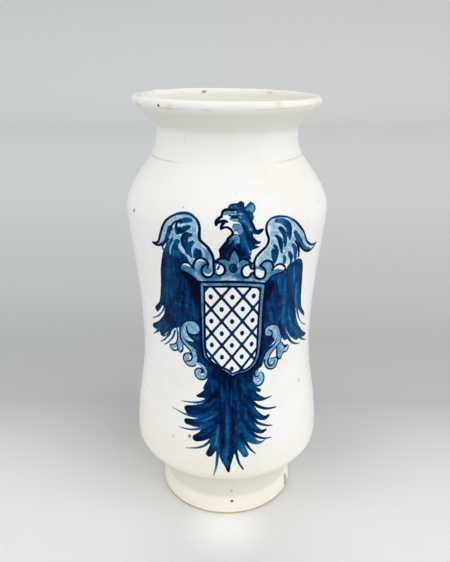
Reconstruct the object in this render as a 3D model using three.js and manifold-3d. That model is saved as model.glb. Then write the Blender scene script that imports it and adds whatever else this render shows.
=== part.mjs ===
// Albarello: a waisted, tin-glazed pharmacy jar on a turned foot, with a crowned eagle painted in blue on its front.
// Millimetres, +Z up. The origin is on the jar's axis, in the plane that the foot ring stands on. The front is -Y.

import * as THREE from 'three';
import { mergeVertices } from 'three/addons/utils/BufferGeometryUtils.js';
import Module from 'manifold-3d';

const wasm = await Module();
wasm.setup();

// Radii of the glazed outside, from the standing edge up to the crest of the lip
const footRadius = 47.5;
const footTopRadius = 45.2;
const footNeckRadius = 43.1;
const undersideRadius = 45.2;
const coneRadius = 60.5;
const hipRadius = 64.6;
const waistRadius = 57.6;
const shoulderRadius = 64.4;
const collarRadius = 47.6;
const neckRadius = 44.2;
const flareRadius = 45.3;
const lipUnderRadius = 56.9;
const crestRadius = 54.7;
const lipInsideRadius = 52;

// Rise of each stretch, so that all that stands above a changed stretch moves with it
const bareBand = 2;
const footBandRise = 12;
const footNeckRise = 7;
const undersideRise = 7;
const coneRise = 12.4;
const hipRise = 9.6;
const bellyRise = 71;
const chestRise = 90.5;
const shoulderRise = 32.5;
const collarRise = 12.5;
const throatRise = 5.7;
const flareRise = 12.5;
const lipRise = 5.3;
const lipInsideDrop = 2.3;

// The clay wall with its two coats, the base and the foot ring
const wall = 8;
const floorHeight = 12;
const floorRound = 7;
const footEdge = 0.6;
const footRingWidth = 7;
const footRingSlope = 1;
const footRecess = 2.5;

// The coats of tin glaze, the layer of blue on top, and the gap that each keeps to what it lies on
const glazeThickness = 0.5;
const paintThickness = 0.3;
const seatGap = 0.3;

// The painted figure, from the top of the head to the tip of the tail
const figureHeight = 176.3;

// The painted shield in the front view, with its levels counted from the waist, its band and its trellis of bars
const shieldLeft = -16.8;
const shieldRight = 23;
const shieldTop = 56.6;
const shieldFlank = 19;
const shieldTip = -6.8;
const shieldBand = 2.6;
const trellisBar = 1.7;
const trellisPitch = 10;
const trellisLean = 38;

// The gap between the shield and the figure that is painted round it
const shieldGap = 0.3;

// Facets round the jar, and steps on each curved span of a painted outline
const facets = 40;
const outlineSteps = 2;

const footTop = bareBand + footBandRise;
const footNeckLevel = footTop + footNeckRise;
const undersideLevel = footNeckLevel + undersideRise;
const coneLevel = undersideLevel + coneRise;
const hipLevel = coneLevel + hipRise;
const waistLevel = hipLevel + bellyRise;
const shoulderLevel = waistLevel + chestRise;
const collarLevel = shoulderLevel + shoulderRise;
const neckLevel = collarLevel + collarRise;
const flareLevel = neckLevel + throatRise;
const lipUnderLevel = flareLevel + flareRise;
const rimLevel = lipUnderLevel + lipRise;
const biscuitInset = glazeThickness + seatGap;

// Materials

function finish(color, roughness) {
  return new THREE.MeshStandardMaterial({ color, roughness, metalness: 0 });
}

const bareClay = () => finish('#d8c19c', 0.85);
const tinGlaze = () => finish('#efeeea', 0.25);
const paleBlue = () => finish('#7fa6cc', 0.3);
const midBlue = () => finish('#1f548c', 0.3);
const darkBlue = () => finish('#0e2f60', 0.3);

// Profiles, as [radius, level] points

// A direction in the profile plane, in degrees from outwards, counted towards upwards
function heading(degrees) {
  const turn = THREE.MathUtils.degToRad(degrees);
  return new THREE.Vector2(Math.cos(turn), Math.sin(turn));
}

// Walks from start through the stretches. Each one ends at `to`, and leaves and arrives in a direction, with a
// pull that is a share of the stretch's length. A stretch without directions is straight.
function trace(start, stretches) {
  const points = [new THREE.Vector2(...start)];
  for (const { to, leaves, arrives, steps = 1 } of stretches) {
    const from = points.at(-1);
    const end = new THREE.Vector2(...to);
    const span = from.distanceTo(end);
    if (!leaves) {
      points.push(end);
      continue;
    }
    const pullOut = heading(leaves[0]).multiplyScalar(leaves[1] * span).add(from);
    const pullIn = heading(arrives[0]).multiplyScalar(-arrives[1] * span).add(end);
    const curve = new THREE.CubicBezierCurve(from, pullOut, pullIn, end);
    points.push(...curve.getPoints(steps).slice(1));
  }
  return points;
}

// The profile sunk by depth below its surface, which lies to the right of the way it runs
function sink(profile, depth, firstNormal, lastNormal) {
  return profile.map((point, i) => {
    let normal = i === 0 ? firstNormal : lastNormal;
    if (i > 0 && i < profile.length - 1) {
      const before = point.clone().sub(profile[i - 1]).normalize();
      const after = profile[i + 1].clone().sub(point).normalize();
      const along = before.add(after).normalize();
      normal = new THREE.Vector2(along.y, -along.x);
    }
    return point.clone().addScaledVector(normal, -depth);
  });
}

const OUT = new THREE.Vector2(1, 0);
const UP = new THREE.Vector2(0, 1);

// The glazed outside, from the top of the bare edge to the crest of the lip
const outside = trace([footRadius, bareBand], [
  { to: [footTopRadius, footTop], leaves: [90, 0.25], arrives: [98, 0.3], steps: 2 },
  { to: [footNeckRadius, footNeckLevel], leaves: [105, 0.2], arrives: [90, 0.55], steps: 3 },
  { to: [undersideRadius, undersideLevel], leaves: [90, 0.45], arrives: [42, 0.3], steps: 2 },
  { to: [coneRadius, coneLevel] },
  { to: [hipRadius, hipLevel], leaves: [40, 0.33], arrives: [90, 0.42], steps: 3 },
  { to: [waistRadius, waistLevel], leaves: [90, 0.37], arrives: [90, 0.39], steps: 4 },
  { to: [shoulderRadius, shoulderLevel], leaves: [90, 0.5], arrives: [90, 0.155], steps: 4 },
  { to: [collarRadius, collarLevel], leaves: [90, 0.34], arrives: [121, 0.21], steps: 5 },
  { to: [neckRadius, neckLevel], leaves: [115, 0.25], arrives: [90, 0.42], steps: 2 },
  { to: [flareRadius, flareLevel], leaves: [90, 0.43], arrives: [60, 0.24] },
  { to: [lipUnderRadius, lipUnderLevel], leaves: [59, 0.19], arrives: [46, 0.33], steps: 2 },
  { to: [crestRadius, rimLevel], leaves: [45, 0.47], arrives: [180, 0.57], steps: 4 },
]);

// The glazed inside, from the crest of the lip down to the middle of the floor
const well = footNeckRadius - wall;
const hollow = hipRadius - wall;
const inside = trace([crestRadius - seatGap, rimLevel], [
  { to: [lipInsideRadius, rimLevel - lipInsideDrop], leaves: [180, 0.4], arrives: [233, 0.3], steps: 2 },
  { to: [neckRadius - wall, neckLevel], leaves: [233, 0.3], arrives: [270, 0.3], steps: 3 },
  { to: [shoulderRadius - wall, shoulderLevel], leaves: [270, 0.37], arrives: [270, 0.27], steps: 4 },
  { to: [waistRadius - wall, waistLevel], leaves: [270, 0.155], arrives: [270, 0.5], steps: 3 },
  { to: [hollow, hipLevel + wall], leaves: [270, 0.39], arrives: [270, 0.3], steps: 3 },
  { to: [well, floorHeight + floorRound], leaves: [270, 0.42], arrives: [270, 0.5], steps: 4 },
  { to: [well - floorRound, floorHeight], leaves: [270, 0.45], arrives: [180, 0.45], steps: 2 },
  { to: [0, floorHeight] },
]);

// Solids

// Profiles run up the jar in X and Y, so that a lathe about Y, stood up, turns about Z with its first facet line at -Y
function lathe(profile) {
  return new THREE.LatheGeometry(profile, facets).rotateX(Math.PI / 2);
}

function solidOf(geometry) {
  const bare = geometry.clone();
  bare.deleteAttribute('normal');
  bare.deleteAttribute('uv');
  const merged = mergeVertices(bare);
  return new wasm.Manifold(
    new wasm.Mesh({
      numProp: 3,
      vertProperties: new Float32Array(merged.attributes.position.array),
      triVerts: new Uint32Array(merged.index.array),
    }),
  );
}

function geometryOf(solid) {
  const mesh = solid.getMesh();
  const geometry = new THREE.BufferGeometry();
  geometry.setAttribute('position', new THREE.BufferAttribute(mesh.vertProperties, mesh.numProp));
  geometry.setIndex(new THREE.BufferAttribute(mesh.triVerts, 1));
  geometry.computeVertexNormals();
  return geometry;
}

// The thrown and turned pot: base with a foot ring, wall, collar and lip in one piece of clay
function earthenwareBody() {
  const standRadius = footRadius - biscuitInset;
  const underneath = [
    new THREE.Vector2(0, footRecess),
    new THREE.Vector2(standRadius - footRingWidth - footRingSlope, footRecess),
    new THREE.Vector2(standRadius - footRingWidth, 0),
    new THREE.Vector2(standRadius - footEdge, 0),
    new THREE.Vector2(standRadius, footEdge),
  ];
  const skin = sink(outside, biscuitInset, OUT, UP);
  const lining = sink(inside, biscuitInset, UP, UP);
  return lathe([...underneath, ...skin, ...lining]);
}

// A coat of glaze: its surface, and back along the clay's side
function outerGlaze() {
  const clayFace = sink(outside, glazeThickness, OUT, UP).reverse();
  return lathe([...outside, ...clayFace, outside[0].clone()]);
}

function innerGlaze() {
  const clayFace = sink(inside, glazeThickness, UP, UP).reverse();
  return lathe([...inside, ...clayFace, inside[0].clone()]);
}

// The layer of blue, all round the body, that the painted outlines are stamped out of
function paintLayer() {
  const under = sink(outside, -seatGap, OUT, UP);
  const over = sink(outside, -seatGap - paintThickness, OUT, UP);
  const onBody = (point, i) => outside[i].y >= undersideLevel && outside[i].y <= collarLevel;
  const face = over.filter(onBody);
  const back = under.filter(onBody).reverse();
  return solidOf(lathe([...face, ...back, face[0].clone()]));
}

function straightOutline(corners) {
  return new THREE.Shape(corners.map(([x, z]) => new THREE.Vector2(x, z)));
}

// A shape of the front view pushed through the front half of the jar
function stamp(shape) {
  const depth = 2 * Math.max(hipRadius, shoulderRadius);
  const prism = new THREE.ExtrudeGeometry(shape, { depth, bevelEnabled: false, curveSegments: outlineSteps });
  return solidOf(prism.rotateX(Math.PI / 2).translate(0, 0, waistLevel));
}

// The figure's outlines, as they are drawn in the front view: [x, level counted from the waist], in runs of points
// that meet in corners

const leftWing = [
  [[-43.4, 78], [-37.5, 83], [-34.5, 91], [-30.5, 96.5], [-24, 100], [-18.5, 98.3], [-15.2, 92.5]],
  [[-14.3, 85], [-11, 80], [-8.3, 74]],
  [[-14, 73.5], [-20, 73], [-27, 71.5]],
  [[-33, 74.5], [-38.5, 77], [-43.4, 78]],
];

const rightWing = [
  [[54.5, 74.5], [46.5, 81.5], [41.2, 89.8], [36.7, 94.2], [29.7, 96.8], [24, 96], [21.7, 92.5]],
  [[22.2, 84.1], [19.5, 78.5], [17.5, 75.2]],
  [[24, 73], [32, 71], [38, 70]],
  [[43.5, 72.5], [49, 73], [54.5, 74.5]],
];

const head = [
  [[-6.8, 93.5], [-4.5, 98.5], [-1.5, 103], [3, 105], [7.5, 105.5]],
  [[10.5, 102.5], [13.8, 104.3]],
  [[14.2, 98], [15.2, 93], [19.5, 89.8]],
  [[16.5, 87.5], [18.5, 82.8]],
  [[13.5, 80.8], [8.5, 81.2], [4.3, 82.4], [-3, 80.5]],
  [[-3.5, 83], [0.8, 86.5], [-0.5, 90.2]],
  [[-2, 91.8], [-5, 92.2], [-6.8, 93.5]],
];

const crown = [
  [[-16.5, 58.4], [-21.5, 62.5], [-25.6, 66.6]],
  [[-23.5, 69.3], [-17.5, 70.3], [-12.4, 67.3]],
  [[-7, 71.8], [-2, 67.3]],
  [[1.2, 72.5], [4.3, 78.8], [7.3, 72.5], [10.3, 67]],
  [[15.9, 70.5], [20.1, 66]],
  [[25, 69], [32.5, 66.3]],
  [[29, 61.5], [24.1, 57.8]],
];

const leftFlight = [
  [[-37, 74.2], [-39.3, 67], [-41.6, 50.6], [-44.4, 32], [-45.8, 20]],
  [[-42.5, 23.5], [-39.4, 17.2]],
  [[-35.5, 25.5], [-28.5, 30], [-18.8, 32.5]],
  [[-18.3, 56], [-24.5, 61.5], [-28.8, 66.3], [-37, 74.2]],
];

const rightFlight = [
  [[46, 67.5], [47.4, 47.8], [47.9, 35], [50.3, 11]],
  [[46, 17], [40.8, 10.8]],
  [[36.5, 22.5], [31, 28.5], [24.9, 30.8]],
  [[24.9, 55.5], [31.5, 61], [36.5, 67], [46, 67.5]],
];

const leftScroll = [
  [[-19.3, 28.8], [-26.5, 27.2], [-29.4, 20.5], [-27, 14.5]],
  [[-35.8, 8.5], [-34, 3.8], [-28.5, 0.3], [-22, -0.2]],
  [[-19.8, -5.4], [-14.6, -4.8], [-13.2, 0.5]],
  [[-15.8, 7.5], [-18.6, 15], [-19.3, 28.8]],
];

const rightScroll = [
  [[25.4, 27.2], [31, 26.2], [34.2, 20], [32.2, 14.5]],
  [[37.6, 8.2], [36.6, 2.8], [32, -0.7], [26, -2.2]],
  [[23, -7.6], [18, -7.4], [17.3, -2]],
  [[20.5, 6], [25, 14], [25.4, 27.2]],
];

const tail = [
  [[-11.8, -2.5], [-12.6, -9], [-19, -19.8]],
  [[-15.5, -19.2], [-26.6, -28.4]],
  [[-19, -30.5], [-26.8, -38.2]],
  [[-17.5, -38.7], [-21.8, -48]],
  [[-13, -45], [-12.6, -57.2]],
  [[-6, -49], [-2.5, -61], [1.2, -70.8]],
  [[5, -60], [7.4, -50], [12, -59.4]],
  [[12.6, -48], [18, -57.8]],
  [[17, -45], [24.3, -51.6]],
  [[19, -40], [26.6, -44.6]],
  [[19, -32], [27, -34.8]],
  [[18.5, -23], [27.4, -22]],
  [[18, -16], [14.8, -9], [15, -3.5]],
  [[12.2, -0.2], [3.5, -10.2]],
  [[-3.8, -1.8], [-8, 2], [-11.8, -2.5]],
];

const drawnLevels = [leftWing, rightWing, head, crown, leftFlight, rightFlight, leftScroll, rightScroll, tail]
  .flat(2)
  .map(([, level]) => level);
const figureUnit = figureHeight / (Math.max(...drawnLevels) - Math.min(...drawnLevels));

function outline(runs) {
  const drawn = runs.map((run) => run.map(([x, level]) => new THREE.Vector2(x, level).multiplyScalar(figureUnit)));
  const start = drawn[0].shift();
  const shape = new THREE.Shape();
  shape.moveTo(start.x, start.y);
  for (const run of drawn) {
    if (run.length === 1) {
      shape.lineTo(run[0].x, run[0].y);
    } else {
      shape.splineThru(run);
    }
  }
  return shape;
}

// The shield, drawn once and set in by the band's width for its field
function shieldShape(inset) {
  const [left, right] = [shieldLeft + inset, shieldRight - inset];
  const middle = (left + right) / 2;
  const tip = shieldTip + inset * Math.SQRT2;
  const bulge = (shieldFlank + shieldTip) / 2;
  const shape = new THREE.Shape();
  shape.moveTo(left, shieldTop - inset);
  shape.lineTo(left, shieldFlank);
  shape.quadraticCurveTo(left, bulge, middle, tip);
  shape.quadraticCurveTo(right, bulge, right, shieldFlank);
  shape.lineTo(right, shieldTop - inset);
  shape.closePath();
  return shape;
}

// Bars that cross at plus and minus the lean, centred on the field
function trellisBars() {
  const middle = [(shieldLeft + shieldRight) / 2, (shieldTop + shieldTip) / 2];
  const reach = shieldTop - shieldTip;
  const count = Math.ceil(reach / trellisPitch / 2);
  const bars = [];
  for (const side of [-1, 1]) {
    const lean = THREE.MathUtils.degToRad(side * trellisLean);
    const along = new THREE.Vector2(Math.sin(lean), Math.cos(lean));
    const across = new THREE.Vector2(along.y, -along.x);
    for (let i = -count; i <= count; i++) {
      const corners = [[-1, -1], [1, -1], [1, 1], [-1, 1]].map(([u, v]) =>
        new THREE.Vector2(...middle)
          .addScaledVector(across, i * trellisPitch + (u * trellisBar) / 2)
          .addScaledVector(along, v * reach),
      );
      bars.push(stamp(straightOutline(corners.map((corner) => corner.toArray()))));
    }
  }
  return bars.reduce((joined, bar) => joined.add(bar));
}

function shieldStamp() {
  const whole = stamp(shieldShape(0));
  const field = stamp(shieldShape(shieldBand));
  return whole.subtract(field).add(trellisBars().intersect(whole));
}

// Assembly

const albarello = new THREE.Group();

function place(name, geometry, material) {
  const mesh = new THREE.Mesh(geometry, material);
  mesh.name = name;
  albarello.add(mesh);
}

place('earthenware_body', earthenwareBody(), bareClay());
place('outer_glaze', outerGlaze(), tinGlaze());
place('inner_glaze', innerGlaze(), tinGlaze());

const layer = paintLayer();
const shieldSpace = stamp(shieldShape(-shieldGap));
place('painted_shield', geometryOf(layer.intersect(shieldStamp())), midBlue());

const paintings = [
  ['painted_left_wing', leftWing, paleBlue()],
  ['painted_right_wing', rightWing, paleBlue()],
  ['painted_head', head, midBlue()],
  ['painted_crown', crown, paleBlue()],
  ['painted_left_flight_feathers', leftFlight, darkBlue()],
  ['painted_right_flight_feathers', rightFlight, darkBlue()],
  ['painted_left_scroll', leftScroll, paleBlue()],
  ['painted_right_scroll', rightScroll, paleBlue()],
  ['painted_tail', tail, darkBlue()],
];
for (const [name, runs, material] of paintings) {
  const cutter = stamp(outline(runs)).subtract(shieldSpace);
  place(name, geometryOf(layer.intersect(cutter)), material);
}

export default albarello;
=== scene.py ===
"""Albarello: a tin-glazed pharmacy jar on a turned foot, with a crowned eagle painted blue on its front."""

import math

import bpy
import numpy as np
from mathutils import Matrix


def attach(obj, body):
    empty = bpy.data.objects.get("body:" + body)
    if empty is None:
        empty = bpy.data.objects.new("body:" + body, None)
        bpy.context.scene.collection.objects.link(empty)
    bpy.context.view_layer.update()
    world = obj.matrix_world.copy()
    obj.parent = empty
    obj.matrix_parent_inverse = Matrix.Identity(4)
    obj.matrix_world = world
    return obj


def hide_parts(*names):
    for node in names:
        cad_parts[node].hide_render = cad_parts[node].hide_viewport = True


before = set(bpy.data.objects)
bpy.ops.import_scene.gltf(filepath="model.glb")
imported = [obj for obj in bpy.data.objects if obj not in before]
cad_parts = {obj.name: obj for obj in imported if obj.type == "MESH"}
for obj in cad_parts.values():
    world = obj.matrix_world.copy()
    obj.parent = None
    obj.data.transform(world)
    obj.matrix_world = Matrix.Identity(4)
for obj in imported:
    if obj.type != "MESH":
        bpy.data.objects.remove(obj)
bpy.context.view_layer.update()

bl_info = {
    "name": "Albarello",
    "version": (1, 0, 0),
    "blender": (4, 5, 0),
    "location": "View3D > Sidebar > Albarello",
    "description": "Throws, glazes and paints a waisted pharmacy jar around its packed frame",
    "category": "Object",
}

MM = 0.001
BODY = "root"
PAINTED_NODES = [name for name in sorted(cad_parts) if name.startswith("painted_")]


# What a user would change


def size(name, description, default):
    """A length in metres whose default is given in millimetres."""
    return bpy.props.FloatProperty(
        name=name, description=description, default=default * MM, unit="LENGTH", min=0, precision=5
    )


def colour(name, description, default):
    """A colour whose default is written as eight-bit sRGB."""
    return bpy.props.FloatVectorProperty(
        name=name, description=description, default=linear(default), subtype="COLOR", size=3, min=0, max=1
    )


def linear(rgb):
    """Eight-bit sRGB as linear light."""
    shares = [channel / 255 for channel in rgb]
    return tuple(s / 12.92 if s <= 0.04045 else ((s + 0.055) / 1.055) ** 2.4 for s in shares)


class JarSizes(bpy.types.PropertyGroup):
    """Radii of the glazed outside, the rise of each stretch from the table up, and the wall"""

    foot_radius: size("Foot radius", "Outside of the foot where it stands", 47.5)
    foot_top_radius: size("Foot top radius", "Top of the foot's flange", 45.2)
    foot_neck_radius: size("Foot neck radius", "Narrowest place above the foot", 43.1)
    underside_radius: size("Underside radius", "Where the belly starts to spread", 45.2)
    cone_radius: size("Cone radius", "Top of the straight cone under the hip", 60.5)
    hip_radius: size("Hip radius", "Widest place of the lower belly", 64.6)
    waist_radius: size("Waist radius", "Where the hand holds the jar", 57.6)
    shoulder_radius: size("Shoulder radius", "Widest place of the upper belly", 64.4)
    collar_radius: size("Collar radius", "Where the shoulder meets the neck", 47.6)
    neck_radius: size("Neck radius", "Narrowest place of the neck", 44.2)
    flare_radius: size("Flare radius", "Where the lip starts to flare", 45.3)
    lip_under_radius: size("Lip radius", "Widest place of the lip", 56.9)
    crest_radius: size("Crest radius", "Top of the lip", 54.7)
    lip_inside_radius: size("Lip inside radius", "Inner edge of the lip", 52)
    bare_band: size("Bare band", "Clay left bare above the table", 2)
    foot_band_rise: size("Foot flange rise", "Height of the foot's flange", 12)
    foot_neck_rise: size("Foot neck rise", "From the flange to the foot's neck", 7)
    underside_rise: size("Underside rise", "From the foot's neck to the belly", 7)
    cone_rise: size("Cone rise", "Height of the cone under the hip", 12.4)
    hip_rise: size("Hip rise", "From the cone to the hip", 9.6)
    belly_rise: size("Belly rise", "From the hip to the waist", 71)
    chest_rise: size("Chest rise", "From the waist to the shoulder", 90.5)
    shoulder_rise: size("Shoulder rise", "From the shoulder to the collar", 32.5)
    collar_rise: size("Collar rise", "From the collar to the neck", 12.5)
    throat_rise: size("Throat rise", "From the neck to the flare", 5.7)
    flare_rise: size("Flare rise", "Height of the flaring lip", 12.5)
    lip_rise: size("Lip rise", "From the lip's widest place to its crest", 5.3)
    lip_inside_drop: size("Lip inside drop", "From the crest down to the lip's inner edge", 2.3)
    wall: size("Wall", "Thickness of the wall with its glaze", 8)
    floor_height: size("Floor height", "Top of the glazed floor inside", 12)
    floor_round: size("Floor round", "Round between the floor and the wall", 7)
    glaze: size("Glaze", "Thickness of a coat of tin glaze", 0.5)
    foot_edge: size("Foot edge", "Bevel of the standing edge", 0.6)
    foot_ring: size("Foot ring", "Width of the ring that the jar stands on", 7)
    foot_recess: size("Foot recess", "Depth of the turned underside", 2.5)


class HandWork(bpy.types.PropertyGroup):
    """How far the potter's hand and the kiln leave the jar from true"""

    swell: size("Swell", "Depth of the wall's slow unevenness", 0.55)
    swell_size: size("Swell size", "Width of the wall's slow unevenness", 42)
    ring_depth: size("Ring depth", "Depth of the throwing rings", 0.09)
    ring_pitch: size("Ring pitch", "Height of one throwing ring", 7.5)
    rim_tilt: size("Rim tilt", "How much lower the rim is on the right than on the left", 1.5)
    front_columns: bpy.props.IntProperty(
        name="Front columns", description="Steps round the painted front", default=190, min=12, max=400
    )
    back_columns: bpy.props.IntProperty(
        name="Back columns", description="Steps round the rest", default=48, min=12, max=400
    )
    front_angle: bpy.props.FloatProperty(
        name="Front angle",
        description="Spread of the painted front",
        default=math.radians(138),
        subtype="ANGLE",
    )


class GlazeColours(bpy.types.PropertyGroup):
    """Colours of the clay, the tin glaze and the cobalt"""

    white: colour("White", "Clean tin glaze", (241, 241, 239))
    cream: colour("Cream", "Thin or stained tin glaze", (236, 231, 219))
    clay: colour("Clay", "Bare fired clay", (188, 164, 128))
    rust: colour("Rust", "Iron spots and chips that show the clay", (150, 104, 56))
    pale_blue: colour("Pale blue", "One thin wash of cobalt", (198, 222, 236))
    wash_blue: colour("Wash blue", "A full wash of cobalt", (122, 172, 204))
    thin_blue: colour("Thin blue", "Brushed cobalt where the brush ran dry", (52, 116, 162))
    brush_blue: colour("Brush blue", "Brushed cobalt", (0, 93, 148))
    deep_blue: colour("Deep blue", "Brushed cobalt laid twice", (0, 58, 106))
    dark_blue: colour("Dark blue", "Cobalt pooled at the edge of a stroke", (0, 31, 75))
    navy: colour("Navy", "Cobalt laid thick", (0, 8, 35))


# Profiles, as [radius, level] points in metres


def heading(degrees):
    """A direction in the profile plane, counted from outwards towards upwards."""
    turn = math.radians(degrees)
    return np.array([math.cos(turn), math.sin(turn)])


def trace(start, stretches, steps=96):
    """Walks from start through the stretches. One that leaves and arrives in a direction is a cubic curve
    whose pulls are shares of its length, and one without directions is straight."""
    points = [np.array([start], float)]
    for end, *ends in stretches:
        begin, end = points[-1][-1], np.array(end, float)
        t = np.linspace(0, 1, steps + 1)[1:, None]
        if not ends:
            points.append(begin + (end - begin) * t)
            continue
        (leave, pull_out), (arrive, pull_in) = ends
        span = np.linalg.norm(end - begin)
        first = begin + heading(leave) * pull_out * span
        last = end - heading(arrive) * pull_in * span
        curve = (1 - t) ** 3 * begin + 3 * (1 - t) ** 2 * t * first + 3 * (1 - t) * t**2 * last + t**3 * end
        points.append(curve)
    return np.concatenate(points)


def levels_of(jar):
    """Level of each named ring of the outside, from the table up."""
    rises = {
        "bare": jar.bare_band, "foot_top": jar.foot_band_rise, "foot_neck": jar.foot_neck_rise,
        "underside": jar.underside_rise, "cone": jar.cone_rise, "hip": jar.hip_rise, "waist": jar.belly_rise,
        "shoulder": jar.chest_rise, "collar": jar.shoulder_rise, "neck": jar.collar_rise,
        "flare": jar.throat_rise, "lip_under": jar.flare_rise, "rim": jar.lip_rise,
    }
    return dict(zip(rises, np.cumsum(list(rises.values()))))


def outside_profile(jar):
    """The glazed outside, from the top of the bare edge to the crest of the lip."""
    at = levels_of(jar)
    return trace(
        [jar.foot_radius, at["bare"]],
        [
            ([jar.foot_top_radius, at["foot_top"]], (90, 0.25), (98, 0.3)),
            ([jar.foot_neck_radius, at["foot_neck"]], (105, 0.2), (90, 0.55)),
            ([jar.underside_radius, at["underside"]], (90, 0.45), (42, 0.3)),
            ([jar.cone_radius, at["cone"]],),
            ([jar.hip_radius, at["hip"]], (40, 0.33), (90, 0.42)),
            ([jar.waist_radius, at["waist"]], (90, 0.37), (90, 0.39)),
            ([jar.shoulder_radius, at["shoulder"]], (90, 0.5), (90, 0.155)),
            ([jar.collar_radius, at["collar"]], (90, 0.34), (121, 0.21)),
            ([jar.neck_radius, at["neck"]], (115, 0.25), (90, 0.42)),
            ([jar.flare_radius, at["flare"]], (90, 0.43), (60, 0.24)),
            ([jar.lip_under_radius, at["lip_under"]], (59, 0.19), (46, 0.33)),
            ([jar.crest_radius, at["rim"]], (45, 0.47), (180, 0.57)),
        ],
    )


def inside_profile(jar):
    """The glazed inside, from the crest of the lip down to the middle of the floor."""
    at = levels_of(jar)
    hollow = jar.hip_radius - jar.wall
    well = jar.foot_neck_radius - jar.wall
    return trace(
        [jar.crest_radius, at["rim"]],
        [
            ([jar.lip_inside_radius, at["rim"] - jar.lip_inside_drop], (180, 0.4), (233, 0.3)),
            ([jar.neck_radius - jar.wall, at["neck"]], (233, 0.3), (270, 0.3)),
            ([jar.shoulder_radius - jar.wall, at["shoulder"]], (270, 0.37), (270, 0.27)),
            ([jar.waist_radius - jar.wall, at["waist"]], (270, 0.155), (270, 0.5)),
            ([hollow, at["hip"] + jar.wall], (270, 0.39), (270, 0.3)),
            ([well, jar.floor_height + jar.floor_round], (270, 0.42), (270, 0.5)),
            ([well - jar.floor_round, jar.floor_height], (270, 0.45), (180, 0.45)),
            ([0, jar.floor_height],),
        ],
    )


def sunk(profile, depth):
    """The profile sunk below its surface, which lies to the right of the way it runs. The depth may vary."""
    along = np.gradient(profile, axis=0)
    along /= np.linalg.norm(along, axis=1)[:, None]
    inwards = np.column_stack([-along[:, 1], along[:, 0]])
    moved = profile + inwards * np.broadcast_to(depth, len(profile))[:, None]
    moved[:, 0] = np.maximum(moved[:, 0], 0)
    return moved


def spaced(profile, spacing):
    """The profile drawn again with points as far apart as spacing says, which may vary along it."""
    steps = np.linalg.norm(np.diff(profile, axis=0), axis=1)
    wanted = np.broadcast_to(spacing, len(profile))
    count = np.concatenate([[0], np.cumsum(steps / (wanted[1:] + wanted[:-1]) * 2)])
    rows = np.linspace(0, count[-1], int(round(count[-1])) + 1)
    return np.column_stack([np.interp(rows, count, profile[:, k]) for k in (0, 1)])


def ease(value, low, high):
    """0 below low, 1 above high and smooth between them."""
    share = np.clip((np.asarray(value, float) - low) / (high - low), 0, 1)
    return share * share * (3 - 2 * share)


# Node trees


class Wiring:
    """Adds nodes to a tree by short calls."""

    def __init__(self, tree):
        self.tree = tree

    def node(self, kind, inputs=(), **settings):
        """Adds a node, sets it, links or fills its inputs and returns its outputs."""
        made = self.tree.nodes.new(kind)
        for key, value in settings.items():
            setattr(made, key, value)
        for socket, value in dict(inputs).items():
            if isinstance(value, bpy.types.NodeSocket):
                self.tree.links.new(value, made.inputs[socket])
            else:
                made.inputs[socket].default_value = value
        return made.outputs

    def maths(self, operation, *values):
        return self.node("ShaderNodeMath", dict(enumerate(values)), operation=operation)[0]

    def times(self, one, other):
        return self.maths("MULTIPLY", one, other)

    def plus(self, one, other):
        return self.maths("ADD", one, other)

    def minus(self, one, other):
        return self.maths("SUBTRACT", one, other)

    def step(self, value, low, high, start=0.0, end=1.0):
        """start below low, end above high and smooth between them."""
        inputs = {"Value": value, "From Min": low, "From Max": high, "To Min": start, "To Max": end}
        return self.node("ShaderNodeMapRange", inputs, interpolation_type="SMOOTHSTEP")[0]


# The thrown form: a profile turned round the jar's axis

# The hand's unevenness fades out towards the floor's middle and the table, and the tilt starts below the rim
STILL_MIDDLE, STILL_FOOT, TILT_START = (0.0, 0.03), (0.001, 0.02), 0.72
SAME_POINT, UNEVEN_SEED = 2e-6, 3.0


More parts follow.
